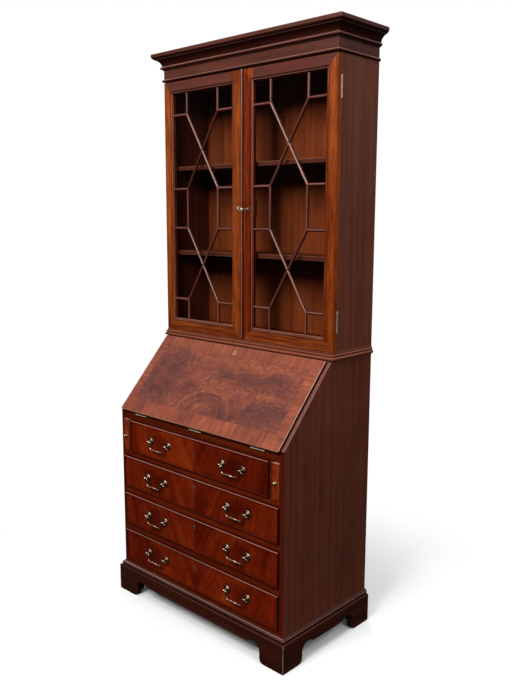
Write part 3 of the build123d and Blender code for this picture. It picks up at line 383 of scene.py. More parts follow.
# ------------------------------------------------------------------ materials
def straight_fields(t, g, wide=38.0, stripe=190.0, meander=0.008):
    """Fields of straight-grained mahogany in board coordinates: tone 0..1, pores 0..1, fine lines."""
    u, v, w = t.sep(g)
    nw = t.noise(t.comb(t.mul(u, 2.0), t.mul(v, 7.0), t.mul(w, 7.0)), 1.0, 2.0)
    off = t.mul(t.sub(nw, 0.5), meander)
    v2, w2 = t.add(v, off), t.add(w, t.mul(off, 0.6))
    broad = t.noise(t.comb(t.mul(u, 0.9), t.mul(v2, wide), t.mul(w2, wide)), 1.0, 3.0, 0.55)
    line = t.noise(t.comb(t.mul(u, 2.4), t.mul(v2, stripe), t.mul(w2, stripe)), 1.0, 3.0, 0.6)
    fine = t.noise(t.comb(t.mul(u, 16.0), t.mul(v2, 900.0), t.mul(w2, 900.0)), 1.0, 2.0, 0.6)
    pore = t.noise(t.comb(t.mul(u, 120.0), t.mul(v2, 2300.0), t.mul(w2, 2300.0)), 1.0, 1.0)
    ribbon = t.noise(t.comb(t.mul(u, 7.0), t.mul(v2, 18.0), t.mul(w2, 18.0)), 1.0, 2.0, 0.5)
    s = t.add(t.add(t.mul(broad, 0.42), t.mul(line, 0.32)), t.add(t.mul(fine, 0.12), t.mul(ribbon, 0.14)))
    return t.rng(s, 0.33, 0.67), t.rng(pore, 0.60, 0.72), fine


def finish_wood(t, col, pores, fine, rough=(0.30, 0.42), ior=1.42, wear=0.0, wear_col=(0.30, 0.13, 0.075), soft_r=0.0012,
                bump=0.00022, cloudy=0.10, grime=0.0, reach=0.009, even=0.0, chips=1.0):
    """Pores, worn arrises with a painted highlight along them, painted shade in the piece's own hollows, polish and
    relief, common to every mahogany surface.
    """
    col = t.mix(t.mul(pores, 0.50), col, t.gain(col, 0.40))
    o = t.obj()
    cloud = t.noise(o, 3.2, 3.0, 0.6)
    col = t.gain(col, t.rng(cloud, 0.3, 0.7, 1.0 - cloudy, 1.0 + cloudy))
    soft = t.bevel(soft_r)
    # wear and painted highlight: the arrises turn towards the wear colour in rubbed patches and chips, and by an even
    # amount all along as a painted highlight line
    if wear:
        edge = t.arris(soft)
        rub = t.rng(t.noise(o, 26.0, 4.0, 0.65), 0.40, 0.66)
        chip = t.rng(t.noise(o, 160.0, 3.0, 0.6), 0.60, 0.68)
        worn = t.math("MAXIMUM", t.add(t.mul(rub, 0.55), even), t.mul(chip, chips))
        col = t.mix(t.mul(t.mul(edge, worn), wear), col, wear_col)
    # painted shade: near-black in the piece's own hollows and quirks, found by an occlusion node
    if grime:
        col = t.mix(t.mul(t.hollow(reach), grime), col, (0.0050, 0.0014, 0.0008))
    handled = t.noise(o, 9.0, 3.0, 0.6)
    smear = t.noise(o, 60.0, 2.0, 0.5)
    r = t.add(t.rng(handled, 0.3, 0.7, rough[0], rough[1]), t.add(t.mul(pores, 0.14), t.mul(t.sub(smear, 0.5), 0.07)))
    wave = t.noise(o, 22.0, 2.0)
    h = t.add(t.add(t.mul(pores, -0.55), t.mul(fine, 0.25)), t.mul(wave, 0.9))
    n = t.bump(h, bump, 0.6, soft)
    p = t.principled(Base_Color=col, Roughness=r, Normal=n)
    p.inputs["IOR"].default_value = ior
    return t.done(p.outputs[0])


def mahogany(name, dark, mid, light, tone_mul=(0.62, 0.72, 0.85), wide=38.0, stripe=190.0, seam_and_shadow=None, gap_shadow_z=None, corner=None, **kw):
    """Straight-grained mahogany. The tone of a board shades it from its own colour towards tone_mul times it."""
    t = Tree(name)
    g = t.attr("grain").outputs["Vector"]
    f, pores, fine = straight_fields(t, g, wide, stripe)
    col = t.ramp(f, [(0.0, dark), (0.45, mid), (1.0, light)])
    shade = t.mix(1.0, col, tone_mul, "MULTIPLY")
    col = t.mix(t.attr("tone").outputs["Fac"], col, shade)
    # painted shadow: a near-black line where |x| lies in the given span (on the sides' slope, beside the fall's lip)
    if seam_and_shadow:
        x, y, z = t.sep(t.obj())
        col = t.mix(t.rng(t.math("ABSOLUTE", x), seam_and_shadow[0], seam_and_shadow[1], 0.92, 0.0), col, (0.008, 0.0020, 0.0012))
    if corner:
        x, y, z = t.sep(t.obj())
        off = t.math("MAXIMUM", t.sub(corner[0], t.math("ABSOLUTE", x)), t.sub(y, corner[1]))
        rub = t.rng(t.noise(t.obj(), 60.0, 3.0, 0.6), 0.36, 0.56, 0.25, 1.0)
        col = t.mix(t.mul(t.rng(off, 0.0010, 0.0024, 0.85, 0.0), rub), col, (0.300, 0.190, 0.150))
    # painted shadow: dark bands just above the given heights (the rails' lower edges over the drawer tops)
    if gap_shadow_z:
        x, y, z = t.sep(t.obj())
        dirt_and_shade = None
        for z0 in gap_shadow_z:
            m = t.rng(t.math("ABSOLUTE", t.sub(z, z0 + 0.0008)), 0.0010, 0.0030, 0.88, 0.0)
            dirt_and_shade = m if dirt_and_shade is None else t.math("MAXIMUM", dirt_and_shade, m)
        col = t.mix(dirt_and_shade, col, (0.010, 0.0020, 0.0010))
    return finish_wood(t, col, pores, fine, **kw)


def door_wood(name, dark, mid, light, tone_mul, **kw):
    """Straight-grained door frames. At the top the closing stiles run through to the end; joints show as hairlines."""
    t = Tree(name)
    x, y, z = t.sep(t.obj())
    ax = t.math("ABSOLUTE", x)
    high = t.rng(z, 1.9026, 1.9031)
    through = t.mul(t.rng(ax, 0.0518, 0.0524, 1.0, 0.0), high)
    g = t.mix(through, t.attr("grain").outputs["Vector"], t.comb(t.add(z, 0.7), t.add(x, 3.1), y))
    f, pores, fine = straight_fields(t, g, 36.0, 175.0)
    col = t.ramp(f, [(0.0, dark), (0.45, mid), (1.0, light)])
    gu, gv, gw = t.sep(g)
    vessel = t.noise(t.comb(t.mul(gu, 13.0), t.mul(gv, 210.0), t.mul(gw, 210.0)), 1.0, 2.0, 0.6)
    col = t.gain(col, t.rng(vessel, 0.36, 0.64, 1.22, 0.56))
    shade = t.mix(1.0, col, tone_mul, "MULTIPLY")
    tone = t.attr("tone").outputs["Fac"]
    col = t.mix(t.blend(through, tone, 0.10), col, shade)
    # the top rails take a duller, darker colour ramp
    quiet = t.ramp(f, [(0.0, (0.048, 0.0119, 0.0080)), (0.45, (0.077, 0.0195, 0.0133)), (1.0, (0.113, 0.0300, 0.0208))])
    col = t.mix(t.mul(t.mul(high, t.rng(tone, 0.60, 0.70)), t.sub(1.0, through)), col, quiet)
    joint = t.math("MINIMUM", t.math("ABSOLUTE", t.sub(ax, 0.0522)), t.math("ABSOLUTE", t.sub(ax, 0.3645)))
    col = t.mix(t.mul(t.rng(joint, 0.0003, 0.0011, 0.55, 0.0), high), col, (0.020, 0.006, 0.004))
    return finish_wood(t, col, pores, fine, **kw)


def flame_veneer(name):
    """Bookmatched feather veneer of the drawer fronts. grain holds (x from the centre, z from mid height, seed)."""
    t = Tree(name)
    x, z, seed = t.sep(t.attr("grain").outputs["Vector"])
    ax = t.math("ABSOLUTE", x)
    low = t.noise(t.comb(t.mul(ax, 4.5), t.mul(z, 4.5), seed), 1.0, 2.0)
    lean = t.rng(ax, 0.02, 0.34, 0.50, 0.16)
    s = t.sub(ax, t.mul(z, lean))
    s = t.add(s, t.mul(t.sub(low, 0.5), 0.10))
    # leaning bands and streaks
    band = t.noise(t.comb(t.mul(s, 15.0), t.mul(z, 1.6), t.add(seed, 2.0)), 1.0, 2.0, 0.5)
    st1 = t.noise(t.comb(t.mul(s, 56.0), t.mul(z, 5.0), t.add(seed, 3.0)), 1.0, 3.0, 0.6)
    st2 = t.noise(t.comb(t.mul(s, 240.0), t.mul(z, 9.0), t.add(seed, 9.0)), 1.0, 3.0, 0.6)
    fine = t.noise(t.comb(t.mul(s, 1000.0), t.mul(z, 30.0), seed), 1.0, 2.0, 0.6)
    pore = t.rng(t.noise(t.comb(t.mul(s, 2300.0), t.mul(z, 130.0), seed), 1.0, 1.0), 0.60, 0.72)
    mottle = t.noise(t.comb(t.mul(s, 24.0), t.mul(t.add(z, t.mul(ax, 0.4)), 40.0), t.add(seed, 5.0)), 1.0, 3.0, 0.6)
    f = t.add(0.5, t.mul(t.sub(band, 0.5), 0.80))
    f = t.add(f, t.add(t.mul(t.sub(st1, 0.5), 0.50), t.mul(t.sub(st2, 0.5), 0.36)))
    f = t.add(f, t.add(t.mul(t.sub(mottle, 0.5), 0.36), t.mul(t.sub(fine, 0.5), 0.16)))
    # the two leaves never match quite, and the ends run darker
    heart = t.mul(t.rng(ax, 0.0, 0.15, 1.0, 0.0, True), t.noise(t.comb(seed, 0.0, 7.7), 0.8, 0.0))
    f = t.sub(f, t.mul(t.mul(t.math("SIGN", x), heart), 0.20))
    f = t.sub(f, t.rng(ax, 0.18, 0.38, 0.0, 0.07, True))
    lean_r, age, _l = t.sep(t.attr("leaf").outputs["Vector"])
    f = t.sub(f, t.mul(lean_r, t.rng(x, -0.04, 0.06, -0.25, 1.0, True)))
    # old wax and handling round each handle
    hx = t.attr("tone").outputs["Fac"]
    dx = t.sub(ax, hx)
    ex = t.math("DIVIDE", dx, 0.060)
    ez = t.math("DIVIDE", t.sub(z, 0.006), 0.034)
    er = t.add(t.add(t.mul(ex, ex), t.mul(ez, ez)), t.mul(t.sub(t.noise(t.comb(x, z, seed), 26.0, 3.0), 0.5), 2.2))
    f = t.sub(f, t.rng(er, 0.1, 1.5, 0.22, 0.0, True))
    col = t.gain(t.ramp(t.math("ADD", f, 0.0, clamp=True), FLAME), age)
    # fine dark joint down the middle
    seam_and_shadow = t.rng(ax, 0.0003, 0.0011, 0.40, 0.0)
    col = t.mix(seam_and_shadow, col, (0.020, 0.003, 0.001))
    # painted shade: darker towards the bottom of the front
    col = t.gain(col, t.rng(z, -0.058, -0.044, 0.80, 1.0, True))
    # filled holes of earlier handles, above each handle's middle
    dz = t.sub(z, 0.0355)
    d = t.math("SQRT", t.add(t.mul(dx, dx), t.mul(dz, dz)))
    d = t.add(d, t.mul(t.sub(t.noise(t.comb(x, z, seed), 420.0, 2.0), 0.5), 0.0016))
    plug = t.rng(d, 0.0032, 0.0054, 1.0, 0.0, True)
    ring = t.mul(plug, t.rng(d, 0.0012, 0.0026, 0.25, 1.0))
    col = t.mix(t.mul(t.add(t.mul(plug, 0.45), t.mul(ring, 0.5)), 0.9), col, (0.010, 0.0034, 0.0018))
    col = t.mix(t.rng(d, 0.0010, 0.0024, 0.62, 0.0, True), col, (0.120, 0.0620, 0.0280))
    # a dark ring on the front in the angle round each rose
    hz = t.sub(z, 0.0035)
    rose_ring = t.math("SQRT", t.add(t.math("POWER", t.sub(t.math("ABSOLUTE", dx), 0.048), 2.0), t.mul(hz, hz)))
    col = t.mix(t.rng(rose_ring, 0.0137, 0.021, 0.75, 0.0, True), col, (0.014, 0.0028, 0.0010))
    return finish_wood(t, col, pore, fine, rough=(0.28, 0.40), ior=1.17, soft_r=0.0010, bump=0.0002)


def fall_veneer(name):
    """Figured panel with a crossbanded border. grain holds (x, distance up the fall, seed)."""
    t = Tree(name)
    x, s, _ = t.sep(t.attr("grain").outputs["Vector"])
    ax = t.math("ABSOLUTE", x)
    # border, mitred at the corners
    ex = t.sub(0.3545, ax)               # inside the side bands when positive
    es_lo = t.sub(s, 0.0555)
    es_hi = t.sub(0.3020, s)
    es = t.math("MINIMUM", es_lo, es_hi)
    inside = t.math("MINIMUM", ex, es)
    panel = t.rng(inside, -0.0004, 0.0004)
    vertical = t.math("LESS_THAN", ex, es)            # side bands, by the mitre
    along = t.blend(vertical, x, s)                   # along the edge = across the band's grain
    cross = t.blend(vertical, s, x)
    # crossband: grain runs across the edge
    b0 = t.noise(t.comb(t.mul(along, 30.0), t.mul(cross, 8.0), 2.9), 1.0, 2.0, 0.5)
    wob = t.add(along, t.mul(t.sub(b0, 0.5), 0.006))
    b1 = t.noise(t.comb(t.mul(wob, 130.0), t.mul(cross, 9.0), 1.7), 1.0, 3.0, 0.6)
    b2 = t.noise(t.comb(t.mul(wob, 560.0), t.mul(cross, 26.0), 4.1), 1.0, 2.0, 0.6)
    b3 = t.noise(t.comb(t.mul(along, 16.0), t.mul(cross, 10.0), 8.3), 1.0, 3.0, 0.55)
    leaf = t.new("ShaderNodeTexWhiteNoise", noise_dimensions="1D")
    t.put(leaf.inputs["W"], t.math("FLOOR", t.mul(t.add(along, t.mul(vertical, 3.3)), 6.2)))
    b4 = t.noise(t.comb(t.mul(wob, 260.0), t.mul(cross, 60.0), 6.6), 1.0, 3.0, 0.6)
    fb = t.add(t.add(t.mul(b1, 0.34), t.mul(b2, 0.26)), t.add(t.mul(b3, 0.30), t.mul(t.sub(leaf.outputs["Value"], 0.5), 0.06)))
    fb = t.add(fb, t.mul(b4, 0.16))
    border = t.ramp(t.rng(fb, 0.38, 0.68), BORDER)
    # panel: swirling crotch figure
    p = t.comb(x, s, 0.0)
    w1 = t.noise(p, 5.0, 4.0, 0.6, color=True)
    sh = t.new("ShaderNodeVectorMath", operation="MULTIPLY_ADD")
    t.put(sh.inputs[0], w1)
    sh.inputs[1].default_value = (0.16, 0.13, 0.0)
    t.put(sh.inputs[2], p)
    q = sh.outputs[0]
    qx, qs, _q = t.sep(q)
    # arching rings low in the middle
    w1x, w1s, _w = t.sep(w1)
    rx = t.mul(t.add(x, t.mul(t.sub(w1x, 0.5), 0.022)), 0.77)
    ry = t.sub(t.add(s, t.mul(t.sub(w1s, 0.5), 0.018)), 0.058)
    r = t.math("SQRT", t.add(t.mul(rx, rx), t.mul(ry, ry)))
    late = t.noise(t.comb(t.mul(r, 92.0), t.mul(x, 4.5), t.mul(s, 4.5)), 1.0, 2.0, 0.5)
    rings = t.mul(t.sub(late, 0.5), 1.22)
    patch = t.rng(t.noise(t.comb(t.mul(x, 14.0), t.mul(s, 14.0), 5.5), 1.0, 2.0), 0.34, 0.56, 0.35, 1.0)
    ringw = t.mul(t.mul(t.rng(r, 0.030, 0.060, 0.25, 1.0), t.rng(r, 0.098, 0.128, 1.0, 0.0, True)), patch)
    # fleecy figure elsewhere, curling finer and finer
    q = t.comb(t.mul(qx, 0.72), t.mul(qs, 1.18), 0.0)
    f1 = t.noise(q, 12.0, 4.0, 0.62, 1.0)
    f2 = t.noise(q, 42.0, 4.0, 0.66, 1.9)
    f3 = t.noise(t.comb(t.mul(qx, 150.0), t.mul(t.add(qs, t.mul(x, 0.2)), 520.0), 0.4), 1.0, 3.0, 0.6)
    f4 = t.noise(q, 110.0, 3.0, 0.6, 2.2)
    figure = t.add(t.mul(f1, 0.44), t.mul(f2, 0.56))
    figure = t.add(figure, t.add(t.mul(f3, 0.36), t.mul(f4, 0.36)))
    # thin curling veins, dark and pale
    n1 = t.noise(q, 34.0, 3.0, 0.6, 1.4)
    n2 = t.noise(q, 85.0, 3.0, 0.6, 1.8)
    veins = t.add(t.rng(t.math("ABSOLUTE", t.sub(n1, 0.50)), 0.0, 0.05, -0.15, 0.0), t.rng(t.math("ABSOLUTE", t.sub(n2, 0.52)), 0.0, 0.06, -0.13, 0.0))
    veins = t.add(veins, t.rng(t.math("ABSOLUTE", t.sub(n1, 0.59)), 0.0, 0.05, 0.17, 0.0))
    calm = t.rng(r, 0.040, 0.130, 0.60, 1.0, True)
    figure = t.add(t.mul(t.add(t.sub(figure, 0.835), veins), calm), t.mul(rings, ringw))
    # broad clouds of dark heartwood and paler flames
    clouds = None
    for cx, cs, kx, ks, amt in ((-0.275, 0.130, 0.125, 0.056, -0.26), (-0.300, 0.215, 0.080, 0.046, -0.16),
                                (-0.200, 0.240, 0.090, 0.026, -0.10), (0.265, 0.108, 0.135, 0.040, -0.27),
                                (0.035, 0.214, 0.100, 0.028, -0.17), (0.215, 0.222, 0.105, 0.030, -0.19),
                                (0.060, 0.074, 0.090, 0.022, -0.20), (0.235, 0.160, 0.090, 0.018, 0.17),
                                (-0.020, 0.172, 0.090, 0.026, 0.16), (-0.165, 0.090, 0.060, 0.030, 0.10),
                                (0.120, 0.280, 0.210, 0.030, 0.16), (-0.150, 0.282, 0.130, 0.022, 0.08),
                                (-0.030, 0.094, 0.060, 0.022, 0.16), (-0.090, 0.205, 0.060, 0.030, 0.07)):
        dx = t.math("DIVIDE", t.sub(t.sub(qx, 0.08), cx), kx)
        ds = t.math("DIVIDE", t.sub(t.sub(qs, 0.065), cs), ks)
        d2 = t.add(t.mul(dx, dx), t.mul(ds, ds))
        k = t.mul(t.math("EXPONENT", t.mul(d2, -1.0)), amt)
        clouds = k if clouds is None else t.add(clouds, k)
    clouds = t.mul(clouds, t.rng(t.add(t.mul(f2, 0.6), t.mul(f4, 0.4)), 0.36, 0.64, 0.25, 1.40))
    ff = t.add(t.add(0.50, t.mul(figure, 1.00)), clouds)
    pan = t.ramp(t.math("ADD", ff, 0.0, clamp=True), PANEL)
    col = t.mix(panel, border, pan)
    line = t.rng(t.math("ABSOLUTE", t.add(inside, 0.0002)), 0.0003, 0.0011, 0.35, 0.0)
    col = t.mix(line, col, (0.030, 0.008, 0.006))
    mit = t.mul(t.rng(t.math("ABSOLUTE", t.sub(ex, es)), 0.0001, 0.0008, 0.35, 0.0), t.sub(1.0, panel))
    col = t.mix(mit, col, (0.04, 0.012, 0.008))
    pores = t.blend(panel, t.rng(t.noise(t.comb(t.mul(along, 2300.0), t.mul(cross, 130.0), 2.0), 1.0, 1.0), 0.60, 0.72),
                    t.rng(t.noise(t.comb(t.mul(qx, 700.0), t.mul(qs, 2000.0), 3.0), 1.0, 1.0), 0.62, 0.74))
    return finish_wood(t, col, pores, b2, rough=(0.38, 0.52), ior=1.33, wear=0.7, wear_col=(0.34, 0.19, 0.15), soft_r=0.0016, bump=0.00022, cloudy=0.06)


def old_brass(name, patina, metal=((0.40, 0.29, 0.13), (0.62, 0.49, 0.27)), grime=((0.012, 0.008, 0.005), (0.070, 0.046, 0.022)), rough=(0.20, 0.46),
              metallic=1.0, reach=0.0):
    """Cast metal, dark lacquer and old soiling on it, worn bright on the arrises, black in the hollows."""
    t = Tree(name)
    o = t.obj()
    soft = t.bevel(0.0014)
    edge = t.arris(soft)
    blot = t.noise(o, 150.0, 4.0, 0.65)
    speck = t.noise(o, 900.0, 3.0, 0.6)
    dirt_and_shade = t.rng(t.add(t.mul(blot, 0.8), t.mul(speck, 0.2)), 0.38, 0.62)
    bright = t.mul(edge, t.rng(speck, 0.35, 0.6, 0.45, 1.0))
    dark = t.mul(t.sub(1.0, bright), t.blend(dirt_and_shade, max(0.0, patina - 0.2), min(1.0, patina + 0.25)))
    bare = t.ramp(speck, [(0.3, metal[0]), (0.7, metal[1])])
    col = t.mix(dark, bare, t.ramp(blot, [(0.35, grime[0]), (0.65, grime[1])]))
    if reach:
        col = t.mix(t.mul(t.hollow(reach, 6), 0.92), col, (0.006, 0.004, 0.003))
    r = t.add(t.blend(dark, rough[0], rough[1]), t.mul(t.sub(speck, 0.5), 0.12))
    n = t.bump(t.add(t.mul(blot, 0.6), t.mul(speck, 0.4)), 0.00018, 0.5, soft)
    p = t.principled(Base_Color=col, Roughness=r, Normal=n)
    p.inputs["Metallic"].default_value = metallic
    return t.done(p.outputs[0])


def hinge_line(name):
    """Knuckles of the fall's hinges: a painted highlight in short runs, painted shade in the gaps between them."""
    t = Tree(name)
    o = t.obj()
    x, y, z = t.sep(o)
    f = t.math("FRACT", t.mul(x, 1.0 / 0.0105))
    speck = t.noise(o, 900.0, 3.0, 0.6)
    gap = t.math("MAXIMUM", t.rng(f, 0.08, 0.22, 1.0, 0.0), t.rng(f, 0.84, 0.96))
    col = t.ramp(speck, [(0.3, (0.66, 0.54, 0.36)), (0.7, (0.96, 0.86, 0.66))])
    col = t.mix(t.mul(gap, 0.9), col, (0.030, 0.018, 0.010))
    p = t.principled(Base_Color=col, Roughness=t.rng(speck, 0.3, 0.7, 0.24, 0.40), Normal=t.bump(speck, 0.00015, 0.4))
    p.inputs["Metallic"].default_value = 0.2
    return t.done(p.outputs[0])


def fall_lip(name):
    """Lower edge of the fall: a painted lit strip of wood under the arris, painted shadow behind it."""
    t = Tree(name)
    f, pores, fine = straight_fields(t, t.attr("grain").outputs["Vector"])
    x, y, z = t.sep(t.obj())
    n = t.add(t.mul(t.sub(y, FALL_PY), -math.sin(FALL_A)), t.mul(t.sub(z, FALL_PZ), math.cos(FALL_A)))
    col = t.ramp(f, [(0.0, (0.42, 0.085, 0.034)), (0.5, (0.62, 0.140, 0.060)), (1.0, (0.80, 0.220, 0.100))])
    col = t.mix(t.rng(n, 0.0140, 0.0172, 1.0, 0.0), col, (0.010, 0.0022, 0.0012))
    return finish_wood(t, col, pores, fine, ior=1.2)


def clear_glass(name):
    """Thin cabinet glass: what is behind shows, with a weak mirror over it and slight waviness."""
    t = Tree(name)
    o = t.obj()
    n = t.bump(t.noise(o, 7.0, 2.0, 0.5), 0.0012, 0.5)
    gl = t.new("ShaderNodeBsdfGlossy")
    gl.inputs["Roughness"].default_value = 0.02
    gl.inputs["Color"].default_value = (0.95, 0.98, 0.97, 1)
    t.put(gl.inputs["Normal"], n)
    tr = t.new("ShaderNodeBsdfTransparent")
    tr.inputs["Color"].default_value = (0.985, 0.992, 0.988, 1)
    fr = t.new("ShaderNodeFresnel")
    fr.inputs["IOR"].default_value = 1.09
    t.put(fr.inputs["Normal"], n)
    mx = t.new("ShaderNodeMixShader")
    t.put(mx.inputs[0], fr.outputs[0])
    t.t.links.new(tr.outputs[0], mx.inputs[1])
    t.t.links.new(gl.outputs[0], mx.inputs[2])
    return t.done(mx.outputs[0])


def leather(name):
    """Writing leather with a pebbled grain and a tooled gilt line. grain holds (x, distance up the fall, seed)."""
    t = Tree(name)
    x, s, _ = t.sep(t.attr("grain").outputs["Vector"])
    o = t.obj()
    cell = t.voronoi(o, 900.0, "DISTANCE_TO_EDGE")
    crease = t.rng(cell, 0.0, 0.16)
    cloud = t.noise(o, 14.0, 4.0, 0.6)
    rub = t.noise(o, 60.0, 3.0, 0.6)
    col = t.ramp(t.add(t.mul(cloud, 0.7), t.mul(rub, 0.3)), [(0.3, (0.020, 0.008, 0.004)), (0.55, (0.052, 0.019, 0.009)), (0.75, (0.105, 0.043, 0.020))])
    col = t.gain(col, t.rng(crease, 0.0, 1.0, 0.55, 1.05))
    ins = t.math("MINIMUM", t.sub(0.3197, t.math("ABSOLUTE", x)), t.sub(0.1137, t.math("ABSOLUTE", t.sub(s, 0.182))))
    l1 = t.rng(t.math("ABSOLUTE", t.sub(ins, 0.012)), 0.0006, 0.0012, 1.0, 0.0)
    l2 = t.rng(t.math("ABSOLUTE", t.sub(ins, 0.017)), 0.0003, 0.0008, 1.0, 0.0)
    worn = t.rng(t.noise(o, 90.0, 4.0, 0.7), 0.36, 0.52)
    gilt = t.mul(t.math("MAXIMUM", l1, l2), worn)
    col = t.mix(t.mul(gilt, 0.85), col, (0.46, 0.30, 0.10))
    n = t.bump(t.sub(t.mul(crease, 0.7), t.mul(t.math("MAXIMUM", l1, l2), 1.2)), 0.0002, 0.8)
    p = t.principled(Base_Color=col, Roughness=t.rng(rub, 0.3, 0.7, 0.42, 0.62), Normal=n)
    p.inputs["Specular IOR Level"].default_value = 0.35
    return t.done(p.outputs[0])


def oak(name, dark, mid, light):
    """Plain unpolished drawer lining: open pores, flecks, some boards darker than others."""
    t = Tree(name)
    g = t.attr("grain").outputs["Vector"]
    f, pores, fine = straight_fields(t, g, 22.0, 84.0, 0.012)
    u, v, w = t.sep(g)
    fleck = t.rng(t.noise(t.comb(t.mul(u, 26.0), t.mul(v, 420.0), t.mul(w, 420.0)), 1.0, 2.0), 0.60, 0.70)
    col = t.ramp(f, [(0.0, dark), (0.5, mid), (1.0, light)])
    col = t.mix(t.mul(fleck, 0.25), col, light)
    col = t.mix(t.mul(t.attr("tone").outputs["Fac"], 0.5), col, dark)
    return finish_wood(t, col, pores, fine, rough=(0.58, 0.74), ior=1.35, bump=0.0004)


# veneers, from dark to light
FLAME = [(0.0, (0.022, 0.0014, 0.0004)), (0.30, (0.066, 0.0042, 0.0007)), (0.52, (0.116, 0.0088, 0.0010)),
         (0.76, (0.190, 0.0215, 0.0022)), (1.0, (0.290, 0.0480, 0.0055))]
BORDER = [(0.0, (0.070, 0.0125, 0.0055)), (0.45, (0.152, 0.0300, 0.0115)), (1.0, (0.265, 0.0650, 0.0240))]
PANEL = [(0.0, (0.026, 0.0054, 0.0050)), (0.28, (0.066, 0.0135, 0.0090)), (0.50, (0.126, 0.0262, 0.0125)),
         (0.74, (0.205, 0.0470, 0.0170)), (1.0, (0.300, 0.0800, 0.0260))]

